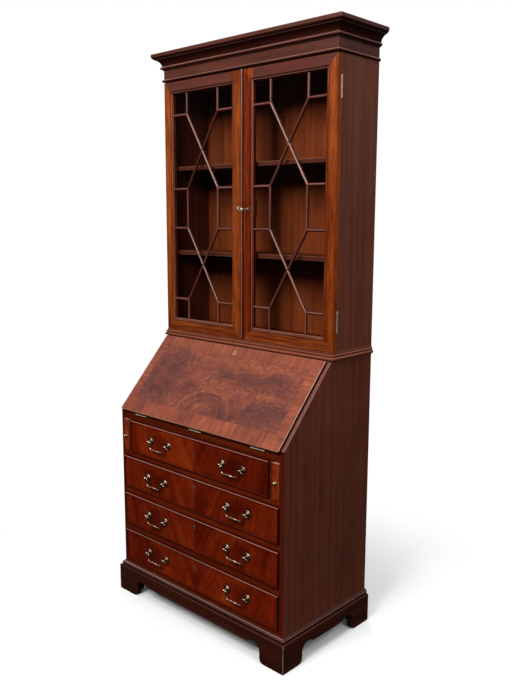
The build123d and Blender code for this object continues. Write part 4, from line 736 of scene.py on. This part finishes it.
M = {
    "side": mahogany("mahogany_side", (0.058, 0.0148, 0.0080), (0.097, 0.0260, 0.0143), (0.146, 0.0424, 0.0236), wide=66.0, stripe=240.0,
                      tone_mul=(0.76, 0.62, 0.52), rough=(0.36, 0.48), ior=1.30, wear=0.4),
    "case": mahogany("mahogany_case", (0.044, 0.0040, 0.0009), (0.094, 0.0110, 0.0021), (0.165, 0.0280, 0.0056), ior=1.18, wear=0.4, grime=0.7),
    # a darker copy of the case wood: painted shade on the bureau sides' upright front edges
    "stile": mahogany("mahogany_stile", (0.032, 0.0018, 0.0004), (0.068, 0.0050, 0.0011), (0.120, 0.0130, 0.0029), ior=1.18, wear=0.4, grime=0.7),
    "edge": mahogany("mahogany_edge", (0.120, 0.0300, 0.0180), (0.200, 0.0600, 0.0390), (0.290, 0.1000, 0.0700), ior=1.45, wear=0.9, wear_col=(0.46, 0.28, 0.22)),
    # a lighter, pinker copy: painted highlight on the sides' sloping edges; its dark line is a painted shadow beside
    # the fall
    "slope": mahogany("mahogany_slope", (0.080, 0.0190, 0.0110), (0.140, 0.0390, 0.0250), (0.210, 0.0690, 0.0470), ior=1.40, wear=1.0, wear_col=(0.46, 0.28, 0.22),
                       seam_and_shadow=(0.3956, 0.3982), even=0.30),
    # lighter, pinker wood: painted highlight on the shelves' front arrises, the lopers' tops and the fall's rounded
    # edges
    "arris": mahogany("mahogany_arris", (0.150, 0.0520, 0.0340), (0.290, 0.1250, 0.0920), (0.400, 0.2100, 0.1650), stripe=90.0, ior=1.45, rough=(0.24, 0.34)),
    "inner": mahogany("mahogany_inner", (0.028, 0.0046, 0.0015), (0.056, 0.0098, 0.0031), (0.094, 0.0205, 0.0064), rough=(0.5, 0.62), ior=1.18),
    "shelf": mahogany("mahogany_shelf", (0.034, 0.0052, 0.0020), (0.068, 0.0125, 0.0050), (0.112, 0.0260, 0.0110), rough=(0.36, 0.48), ior=1.22, wear=0.5),
    "back": mahogany("mahogany_back", (0.078, 0.0130, 0.0030), (0.166, 0.0302, 0.0062), (0.262, 0.0585, 0.0128), rough=(0.50, 0.65), ior=1.18,
                      tone_mul=(0.70, 0.72, 0.75), wide=30.0, stripe=120.0),
    "moulding": mahogany("mahogany_moulding", (0.034, 0.0080, 0.0046), (0.068, 0.0162, 0.0090), (0.116, 0.0310, 0.0172), ior=1.36,
                          tone_mul=(0.85, 0.95, 1.0), rough=(0.26, 0.38), wear=0.8, wear_col=(0.30, 0.16, 0.12), soft_r=0.0013, grime=0.9, even=0.35, chips=0.5),
    # a lighter, pinker copy: painted highlight on up-facing crests of the frieze and cornice
    "mould_top": mahogany("mahogany_mould_top", (0.120, 0.0420, 0.0290), (0.210, 0.0900, 0.0680), (0.300, 0.1500, 0.1200), ior=1.45,
                           tone_mul=(0.85, 0.95, 1.0), rough=(0.24, 0.36), soft_r=0.0010),
    # a near-black copy: painted shade on down-facing faces, quirks and flanks
    "cove": mahogany("mahogany_cove", (0.009, 0.0012, 0.0006), (0.022, 0.0031, 0.0016), (0.042, 0.0070, 0.0036), ior=1.19,
                      tone_mul=(0.85, 0.95, 1.0), rough=(0.30, 0.42), soft_r=0.0010, grime=0.9),
    "waist": mahogany("mahogany_waist", (0.084, 0.0150, 0.0052), (0.165, 0.0380, 0.0140), (0.250, 0.0720, 0.0300), ior=1.36,
                       tone_mul=(0.85, 0.95, 1.0), rough=(0.24, 0.36), wear=0.8, wear_col=(0.38, 0.22, 0.17), soft_r=0.0010, grime=1.0, reach=0.006, even=0.25, chips=0.3),
    "plinth": mahogany("mahogany_plinth", (0.012, 0.0020, 0.0009), (0.026, 0.0046, 0.0019), (0.050, 0.0105, 0.0046), ior=1.28,
                        tone_mul=(1.0, 1.05, 1.1), wear=1.0, wear_col=(0.26, 0.13, 0.09), soft_r=0.0018, corner=(0.4265, Y0 - 0.0165)),
    "plinth_mould": mahogany("mahogany_plinth_mould", (0.020, 0.0036, 0.0016), (0.042, 0.0084, 0.0038), (0.074, 0.0180, 0.0085), ior=1.36,
                              tone_mul=(0.85, 0.95, 1.0), rough=(0.24, 0.36), wear=0.5, wear_col=(0.34, 0.20, 0.15), soft_r=0.0008, grime=1.0, reach=0.006, even=0.40, chips=0.0),
    # painted highlight on the plinth moulding's front crests
    "mould_line": mahogany("mahogany_mould_line", (0.120, 0.0500, 0.0390), (0.190, 0.0930, 0.0770), (0.270, 0.1500, 0.1300), ior=1.50,
                            tone_mul=(0.85, 0.95, 1.0), rough=(0.20, 0.30), soft_r=0.0006),
    "gallery": mahogany("mahogany_gallery", (0.060, 0.0140, 0.0055), (0.115, 0.0280, 0.0100), (0.190, 0.0550, 0.0200), ior=1.30, wear=0.3),
    "loper": mahogany("mahogany_loper", (0.066, 0.0058, 0.0012), (0.152, 0.0190, 0.0032), (0.262, 0.0450, 0.0080), ior=1.22, wear=0.9, wear_col=(0.40, 0.24, 0.18)),
    "bead": mahogany("mahogany_bead", (0.036, 0.0040, 0.0014), (0.070, 0.0092, 0.0032), (0.115, 0.0220, 0.0085), ior=1.22,
                      rough=(0.22, 0.32), wear=0.3, wear_col=(0.26, 0.11, 0.08), soft_r=0.0008, grime=0.8, reach=0.005),
    # a duller, darker copy: painted shade on the lower cock beads
    "bead_low": mahogany("mahogany_bead_low", (0.034, 0.0024, 0.0005), (0.058, 0.0048, 0.0009), (0.094, 0.0110, 0.0024), ior=1.13, rough=(0.40, 0.52),
                          soft_r=0.0008, grime=0.4, reach=0.003),
    # its dark bands just above the drawer tops are painted shadow
    "rail": mahogany("mahogany_rail", (0.040, 0.0028, 0.0005), (0.086, 0.0078, 0.0011), (0.152, 0.0205, 0.0034), ior=1.18, wear=0.4, grime=0.7,
                      gap_shadow_z=(0.6951, 0.5509, 0.4029, 0.2549)),
    "hinge_line": hinge_line("hinge_knuckles"),
    "fall_lip": fall_lip("mahogany_fall_lip"),
    # a lighter, pinker copy: painted highlight on the upper faces of the top cock beads
    "bead_top": mahogany("mahogany_bead_top", (0.190, 0.0620, 0.0480), (0.300, 0.1150, 0.0930), (0.400, 0.1800, 0.1500), ior=1.50,
                          rough=(0.20, 0.30), soft_r=0.0008),
    "door": door_wood("mahogany_door", (0.056, 0.0056, 0.0008), (0.164, 0.0258, 0.0028), (0.320, 0.0750, 0.0096), ior=1.24,
                       tone_mul=(0.40, 0.56, 2.5), wear=0.8, wear_col=(0.34, 0.17, 0.12), grime=0.9, reach=0.006),
    "door_dark": door_wood("mahogany_door_dark", (0.050, 0.0040, 0.0006), (0.124, 0.0130, 0.0014), (0.225, 0.0380, 0.0044), ior=1.20,
                            tone_mul=(0.36, 0.48, 2.1), wear=0.5, grime=0.9, reach=0.006),
    # a lighter, pinker copy: painted highlight on door beads and crests turned towards the light
    "door_bead": mahogany("mahogany_door_bead", (0.110, 0.0280, 0.0150), (0.190, 0.0600, 0.0380), (0.280, 0.1050, 0.0740), ior=1.45,
                           tone_mul=(0.85, 0.90, 0.95), rough=(0.24, 0.34), soft_r=0.0008, grime=0.8, reach=0.005),
    "bars": mahogany("mahogany_bars", (0.084, 0.0220, 0.0130), (0.160, 0.0470, 0.0290), (0.250, 0.0900, 0.0600), ior=1.48,
                      tone_mul=(0.30, 0.20, 0.16), rough=(0.24, 0.34), soft_r=0.0008),
    "lining": oak("drawer_lining_oak", (0.150, 0.066, 0.026), (0.300, 0.150, 0.062), (0.430, 0.245, 0.112)),
    "flame": flame_veneer("mahogany_flame"),
    "fall": fall_veneer("mahogany_fall"),
    "brass": old_brass("old_brass", 0.38, ((0.48, 0.325, 0.22), (0.76, 0.59, 0.45)), ((0.018, 0.008, 0.004), (0.086, 0.042, 0.022)), rough=(0.20, 0.38), reach=0.004),
    "brass_dark": old_brass("grimed_brass", 0.90, ((0.42, 0.29, 0.18), (0.62, 0.47, 0.32)), ((0.012, 0.006, 0.003), (0.046, 0.024, 0.013)), rough=(0.24, 0.46)),
    "brass_bright": old_brass("rubbed_brass", 0.20, ((0.50, 0.38, 0.19), (0.72, 0.58, 0.34))),
    "plate": old_brass("dark_plate", 0.75, grime=((0.020, 0.010, 0.006), (0.060, 0.034, 0.018))),
    "rim_dark": old_brass("worn_plate", 0.66, ((0.30, 0.18, 0.11), (0.46, 0.31, 0.21)), ((0.022, 0.010, 0.006), (0.066, 0.034, 0.019)), metallic=0.6),
    "rim": old_brass("rubbed_plate", 0.46, ((0.42, 0.29, 0.19), (0.62, 0.46, 0.33)), ((0.04, 0.022, 0.013), (0.11, 0.064, 0.038)), metallic=0.6),
    "hinge": old_brass("hinge_brass", 0.26, ((0.27, 0.19, 0.125), (0.42, 0.315, 0.22)), metallic=0.45),
    "steel": old_brass("key_metal", 0.10, ((0.66, 0.62, 0.56), (0.86, 0.83, 0.78)), ((0.05, 0.045, 0.04), (0.16, 0.15, 0.13)), rough=(0.36, 0.52)),
    "glass": clear_glass("cabinet_glass"),
    "leather": leather("writing_leather"),
}


def dress(name, *mats):
    me = nodes[name].data
    me.materials.clear()
    for m in mats:
        me.materials.append(M[m])


# carcase
lay_boards("bureau_sides", 100, tone=0.55, force=2, spread=0.0)
dress("bureau_sides", "side", "slope", "inner", "stile")
cen, nor = polys(nodes["bureau_sides"])
# front edges: the sloping ones take the lighter slope wood, a painted highlight; the upright ones the darker stile
# wood, a painted shade; inner faces the inner wood
kind = np.where((nor[:, 1] < -0.3) & (cen[:, 1] < Y0 + 0.26), np.where(nor[:, 2] > 0.3, 1, 3), np.where(np.abs(cen[:, 0]) < 0.3935, 2, 0))
nodes["bureau_sides"].data.polygons.foreach_set("material_index", kind.astype(np.int32))
lay_boards("bookcase_sides", 110, tone=0.0, force=2, spread=0.0)
dress("bookcase_sides", "side", "edge", "inner")
cen, nor = polys(nodes["bookcase_sides"])
kind = np.where(nor[:, 1] < -0.3, 1, np.where(np.abs(cen[:, 0]) < 0.3920, 2, 0))
nodes["bookcase_sides"].data.polygons.foreach_set("material_index", kind.astype(np.int32))
for name, s in (("bureau_top_and_bottom", 120), ("writing_bed", 130), ("drawer_rails_and_partitions", 140),
                ("bookcase_boards", 150)):
    lay_boards(name, s)
    dress(name, "case", "rail")
    cen, nor = polys(nodes[name])
    if s in (130, 140):
        nodes[name].data.polygons.foreach_set("material_index", (nor[:, 1] < -0.7).astype(np.int32))
lay_boards("bookcase_shelves", 160, tone=0.3, spread=0.2)
dress("bookcase_shelves", "shelf", "arris")
cen, nor = polys(nodes["bookcase_shelves"])
# painted highlight: the rounded front arrises take the lighter arris wood
nodes["bookcase_shelves"].data.polygons.foreach_set("material_index", ((nor[:, 1] < -0.2) & (nor[:, 1] > -0.95)).astype(np.int32))
lay_boards("back_panels", 170, force=2)
dress("back_panels", "back")
co, lv, lp = corners(nodes["back_panels"])
# painted shade: the back panels' tone rises towards -x, so they darken towards the left
nodes["back_panels"].data.attributes["tone"].data.foreach_set("value", np.clip((0.40 - co[lv][:, 0]) / 0.80, 0.0, 1.0).astype(np.float32))
lay_boards("cornice_top_board", 180)
dress("cornice_top_board", "back")
for i in range(1, 5):
    lay_boards("drawer_%d_box" % i, 200 + 10 * i)
    dress("drawer_%d_box" % i, "lining")
lay_boards("drawer_runners", 190)
dress("drawer_runners", "lining")
lay_mitred("bracket_plinth", 300, 0.4265, Y0 - 0.0165, tone=0.2, rear=Y0 + 0.430)
dress("bracket_plinth", "plinth")
lay_mitred("plinth_moulding", 310, 0.4208, Y0 - 0.0108)
dress("plinth_moulding", "plinth_mould", "mould_line", "cove")
cen, nor = polys(nodes["plinth_moulding"])
out = np.maximum(Y0 - cen[:, 1], np.abs(cen[:, 0]) - 0.410)
# painted highlight on the front crests (mould_line wood; side crests stay plain), painted shade in the quirks and on
# down-facing faces (cove wood)
crest = ((nor[:, 2] > 0.60) & (nor[:, 2] < 0.93) & (cen[:, 2] > 0.110)) | ((cen[:, 2] > 0.1066) & (cen[:, 2] < 0.1097) & (out > 0.0086) & (nor[:, 2] > 0.5))
quirk = (nor[:, 2] < -0.1) | (cen[:, 2] < 0.1060) | ((cen[:, 2] < 0.1122) & (out < 0.0088))
nodes["plinth_moulding"].data.polygons.foreach_set("material_index", np.where(crest, np.where(np.abs(nor[:, 0]) > np.abs(nor[:, 1]), 0, 1), np.where(quirk, 2, 0)).astype(np.int32))
lay_mitred("waist_moulding", 320, 0.4183, Y0 + 0.2354 - 0.0088)
dress("waist_moulding", "waist")
lay_mitred("frieze", 330, 0.4095, Y0 + 0.2354, rear=Y0 + 0.430)
dress("frieze", "moulding", "mould_top", "cove")
cen, nor = polys(nodes["frieze"])
# painted highlight on the up-facing faces of the low bead (mould_top wood), painted shade on its down-facing faces
# (cove wood)
low = (cen[:, 2] < 1.9618) & (np.hypot(nor[:, 0], nor[:, 1]) > 0.01)
kind = np.where(low & (nor[:, 2] > 0.5), 1, np.where(low & (nor[:, 2] < -0.05), 2, 0))
nodes["frieze"].data.polygons.foreach_set("material_index", kind.astype(np.int32))
lay_mitred("cornice_moulding", 340, 0.4450, Y0 + 0.2354 - 0.0355)
dress("cornice_moulding", "moulding", "cove", "mould_top")
cen, nor = polys(nodes["cornice_moulding"])
# painted shade on the down-facing faces (cove wood), painted highlight on the up-facing crests low and high (mould_top
# wood)
high = ((cen[:, 2] < 2.0095) | (cen[:, 2] > 2.0505)) & (nor[:, 2] > 0.40) & (nor[:, 2] < 0.95)
kind = np.where(nor[:, 2] < -0.22, 1, np.where(high, 2, 0))
nodes["cornice_moulding"].data.polygons.foreach_set("material_index", kind.astype(np.int32))
for name, s in (("pigeonhole_gallery", 400), ("small_drawer_left", 430), ("small_drawer_right", 440)):
    lay_boards(name, s)
    dress(name, "gallery")
for name, s in (("loper_left", 450), ("loper_right", 451)):
    lay_boards(name, s, tone=0.1, spread=0.1)
    dress(name, "loper", "arris")
    cen, nor = polys(nodes[name])
    # painted highlight: the up-facing faces take the lighter arris wood
    nodes[name].data.polygons.foreach_set("material_index", (nor[:, 2] > 0.3).astype(np.int32))

# doors
door_kind = {"right": lay_door("door_right_frame", 1.0, 500), "left": lay_door("door_left_frame", -1.0, 510)}
bar_kind = {"right": lay_bars("door_right_glazing_bars", 1.0, 520), "left": lay_bars("door_left_glazing_bars", -1.0, 550)}
for side in ("left", "right"):
    dress("door_%s_frame" % side, "door", "door_dark", "door_bead", "cove")
    nodes["door_%s_frame" % side].data.polygons.foreach_set("material_index", door_kind[side].astype(np.int32))
    dress("door_%s_glazing_bars" % side, "bars", "cove")
    nodes["door_%s_glazing_bars" % side].data.polygons.foreach_set("material_index", bar_kind[side])
    dress("door_%s_glass" % side, "glass")
    dress("door_%s_hinge_leaves" % side, "hinge")

# drawer fronts: veneer, with cock beads of plain wood round it
for i, (bottom, half, hx) in enumerate(((0.5746, 0.3492, 0.187), (0.4304, 0.3922, 0.208), (0.2824, 0.3922, 0.208), (0.1344, 0.3922, 0.208))):
    name = "drawer_%d_front" % (i + 1)
    o = nodes[name]
    cen, nor = polys(o)
    mid = bottom + 0.0598
    dx, dz = half - np.abs(cen[:, 0]), 0.0598 - np.abs(cen[:, 2] - mid)
    bead = (cen[:, 1] < Y0 + 0.0082) & (np.minimum(dx, dz) < 0.00402)
    upright = dx < dz
    eye = np.eye(3)
    frames = np.empty((len(cen), 3, 3))
    frames[:] = np.array([[1, 0, 0], [0, 0, 1], [0, 1, 0]])
    frames[bead & ~upright] = np.array([[1, 0, 0], [0, 1, 0], [0, 0, 1]])
    frames[bead & upright] = np.array([[0, 0, 1], [0, 1, 0], [1, 0, 0]])
    lay(o, frames, np.where(bead, 600 + 4 * i, 640 + i), np.where(bead, np.where(upright, 0.65, 0.25), hx))
    # the veneer needs plain places: x from the centre, z from mid height
    co, lv, lp = corners(o)
    g = np.empty((len(lv), 3), np.float32)
    o.data.attributes["grain"].data.foreach_get("vector", g.ravel())
    flat = ~bead[lp]
    g[flat, 0] = co[lv][flat, 0]
    g[flat, 1] = co[lv][flat, 2] - mid
    g[flat, 2] = (co[lv][flat, 1] - Y0) * 0.2 + 1.37 * i + 0.4
    o.data.attributes["grain"].data.foreach_set("vector", g.ravel())
    leaf = o.data.attributes.new("leaf", "FLOAT_VECTOR", "CORNER")
    leaf.data.foreach_set("vector", np.tile(np.array(((0.15, 0.98, 0.0), (0.0, 0.90, 0.0), (0.0, 0.97, 0.0), (-0.05, 1.06, 0.0))[i], np.float32), len(lv)))
    dress(name, "flame", "bead", "bead_top", "cove", "bead_low")
    # painted highlight on the top beads' up-facing faces (bead_top wood), painted shade on the upright beads' flanks
    # (cove wood) and on the lower beads (the duller bead_low wood)
    lit = bead & ~upright & (cen[:, 2] > mid) & (nor[:, 2] > 0.25) & (nor[:, 2] < 0.97)
    flank = bead & upright & (np.abs(nor[:, 0]) > 0.12)
    under = bead & ~upright & (cen[:, 2] < mid)
    o.data.polygons.foreach_set("material_index", (bead.astype(np.int32) + lit.astype(np.int32) + 2 * flank.astype(np.int32) + 3 * under.astype(np.int32)))
    # roses: bright rims and balls, dark dishes
    fit = nodes["drawer_%d_fittings" % (i + 1)]
    dress(fit.name, "brass", "plate", "brass_dark", "rim_dark")
    cen, nor = polys(fit)
    axis_d = np.hypot(np.abs(np.abs(cen[:, 0]) - hx) - 0.048, cen[:, 2] - mid - 0.0035)
    dish = (axis_d < 0.0113) & (cen[:, 1] > Y0 - 0.0045 - 0.0085)
    fit.data.polygons.foreach_set("material_index", np.where(np.abs(cen[:, 0]) < 0.02, np.where(nor[:, 1] < -0.7, 3, 1), np.where(dish, 2, 0)).astype(np.int32))
    dress("bail_%d_left" % (i + 1), "brass")
    dress("bail_%d_right" % (i + 1), "brass")


# fall: figured outside, plain inside; on the edges a painted highlight on the rounded arrises, painted shade on the
# side edges, and a painted lit strip on the lower edge
def lay_fall(name, seed):
    o = nodes[name]
    cen, nor = polys(o)
    out_n = np.array([0, -math.sin(FALL_A), math.cos(FALL_A)])
    outer = nor @ out_n > 0.6
    f = np.array([[1, 0, 0], [0, math.cos(FALL_A), math.sin(FALL_A)], out_n])
    frames = np.empty((len(cen), 3, 3))
    frames[:] = f
    lay(o, frames, np.full(len(cen), seed), np.where(outer, 0.0, 0.3))
    co, lv, lp = corners(o)
    p = co[lv] - np.array([0, FALL_PY, FALL_PZ])
    g = (p @ f.T).astype(np.float32)
    g[:, 2] = 0.0
    old = np.empty((len(lv), 3), np.float32)
    o.data.attributes["grain"].data.foreach_get("vector", old.ravel())
    pick = outer[lp] if name == "fall_panel" else np.ones(len(lv), bool)
    old[pick] = g[pick]
    o.data.attributes["grain"].data.foreach_set("vector", old.ravel())
    return nor @ out_n


facing = lay_fall("fall_panel", 700)
dress("fall_panel", "fall", "case", "arris", "cove", "fall_lip")
cen, nor = polys(nodes["fall_panel"])
# painted highlight on the rounded arrises (arris wood), painted shade on the side edges (cove wood), a painted lit
# strip and shadow on the lower edge (fall lip wood)
kind = np.where(facing > 0.96, 0, np.where(facing > 0.25, 2, np.where(np.abs(nor[:, 0]) > 0.7, 3, 1)))
kind[(facing <= 0.25) & (nor @ np.array([0, math.cos(FALL_A), math.sin(FALL_A)]) < -0.7)] = 4
nodes["fall_panel"].data.polygons.foreach_set("material_index", kind.astype(np.int32))
lay_fall("fall_leather", 701)
dress("fall_leather", "leather")

# metal
for name in ("loper_knob_left", "loper_knob_right", "shelf_pegs"):
    dress(name, "brass_bright")
dress("fall_lock", "plate", "rim")
cen, nor = polys(nodes["fall_lock"])
out_n = np.array([0, -math.sin(FALL_A), math.cos(FALL_A)])
nodes["fall_lock"].data.polygons.foreach_set("material_index", (((cen - np.array([0, FALL_PY, FALL_PZ])) @ out_n > 0.0243) & (nor @ out_n > 0.5)).astype(np.int32))
for name in ("fall_hinge_rail_leaves", "fall_hinge_flap_leaves"):
    dress(name, "hinge", "hinge_line", "plate")
    cen, nor = polys(nodes[name])
    # painted highlight on the knuckles' up-facing faces (the bright knuckle metal), painted shade on the rest of each
    # knuckle (the dark plate)
    near = np.hypot(cen[:, 1] - FALL_PY, cen[:, 2] - FALL_PZ) < 0.0036
    lit_knuckle_tops = (nor[:, 2] > 0.35) & (nor[:, 1] < 0.15)
    nodes[name].data.polygons.foreach_set("material_index", np.where(near, np.where(lit_knuckle_tops, 1, 2), 0).astype(np.int32))
dress("door_hinge_case_leaves", "hinge")
for name in ("door_lock_bolt", "door_key"):
    dress(name, "steel")
dress("door_lock", "plate")

# ------------------------------------------------------------------ the stage
bm = bmesh.new()
rings = (0.0, 0.35, 0.7, 1.0, 1.4, 1.9, 2.5, 3.2)
last = [bm.verts.new((0, 0, 0))]
for r in rings[1:]:
    ring = [bm.verts.new((r * math.cos(a), r * math.sin(a), 0)) for a in (2 * math.pi * k / 96 for k in range(96))]
    for k in range(96):
        a, b = ring[k], ring[(k + 1) % 96]
        if len(last) == 1:
            bm.faces.new((last[0], a, b))
        else:
            bm.faces.new((last[k], a, b, last[(k + 1) % 96]))
    last = ring
me = bpy.data.meshes.new("floor")
bm.to_mesh(me)
bm.free()
floor = bpy.data.objects.new("floor", me)
floor.location.z = -0.0004
scene.collection.objects.link(floor)
t = Tree("pale_floor")
o = t.obj()
x, y, z = t.sep(o)
rad = t.math("SQRT", t.add(t.mul(x, x), t.mul(y, y)))
paper = t.noise(o, 3.0, 4.0, 0.6)
col = t.ramp(paper, [(0.3, (0.70, 0.70, 0.70)), (0.7, (0.74, 0.74, 0.735))])
p = t.principled(Base_Color=col, Roughness=t.rng(paper, 0.3, 0.7, 0.75, 0.9))
p.inputs["Specular IOR Level"].default_value = 0.1
tr = t.new("ShaderNodeBsdfTransparent")
mx = t.new("ShaderNodeMixShader")
t.put(mx.inputs[0], t.rng(rad, 0.55, 1.25, 0.0, 1.0, True))
t.t.links.new(p.outputs[0], mx.inputs[1])
t.t.links.new(tr.outputs[0], mx.inputs[2])
me.materials.append(t.done(mx.outputs[0]))
floor.visible_glossy = False
floor.visible_diffuse = False

world = bpy.data.worlds.new("studio")
scene.world = world
world.use_nodes = True
wt = Tree.__new__(Tree)
wt.t = world.node_tree
wt.t.nodes.clear()
gen = wt.new("ShaderNodeTexCoord").outputs["Generated"]
wx, wy, wz = wt.sep(gen)
sky = wt.ramp(wt.rng(wz, -1.0, 1.0), [(0.0, (0.04, 0.04, 0.04)), (0.47, (0.02, 0.02, 0.02)), (0.50, (0.035, 0.035, 0.035)), (0.55, (0.09, 0.09, 0.09)),
                                      (0.60, (0.20, 0.20, 0.20)), (0.675, (0.46, 0.46, 0.46)), (0.80, (0.88, 0.88, 0.89)), (1.0, (1.20, 1.20, 1.22))])
soft = wt.new("ShaderNodeBackground")
wt.put(soft.inputs["Color"], sky)
soft.inputs["Strength"].default_value = 1.0
white = wt.new("ShaderNodeBackground")
white.inputs["Color"].default_value = (1, 1, 1, 1)
white.inputs["Strength"].default_value = 1.0
lp_ = wt.new("ShaderNodeLightPath")
mxw = wt.new("ShaderNodeMixShader")
wt.put(mxw.inputs[0], lp_.outputs["Is Camera Ray"])
wt.t.links.new(soft.outputs[0], mxw.inputs[1])
wt.t.links.new(white.outputs[0], mxw.inputs[2])
wo = wt.new("ShaderNodeOutputWorld")
wt.t.links.new(mxw.outputs[0], wo.inputs["Surface"])


def area(name, pos, aim, size, power, color=(1, 1, 1)):
    d = bpy.data.lights.new(name, "AREA")
    d.shape, d.size, d.size_y = "RECTANGLE", size[0], size[1]
    d.energy, d.color = power, color
    ob = bpy.data.objects.new(name, d)
    ob.location = pos
    ob.rotation_euler = (Vector(aim) - Vector(pos)).to_track_quat("-Z", "Y").to_euler()
    scene.collection.objects.link(ob)
    return ob


area("key_softbox", (0.5, -3.0, 3.5), (0, 0, 1.0), (1.7, 1.7), 190.0)
area("side_softbox", (3.0, -0.6, 3.0), (0, 0, 1.0), (1.5, 1.5), 45.0)
area("back_softbox", (-2.7, 2.6, 1.8), (0, 0, 1.0), (1.6, 1.6), 55.0).visible_glossy = False
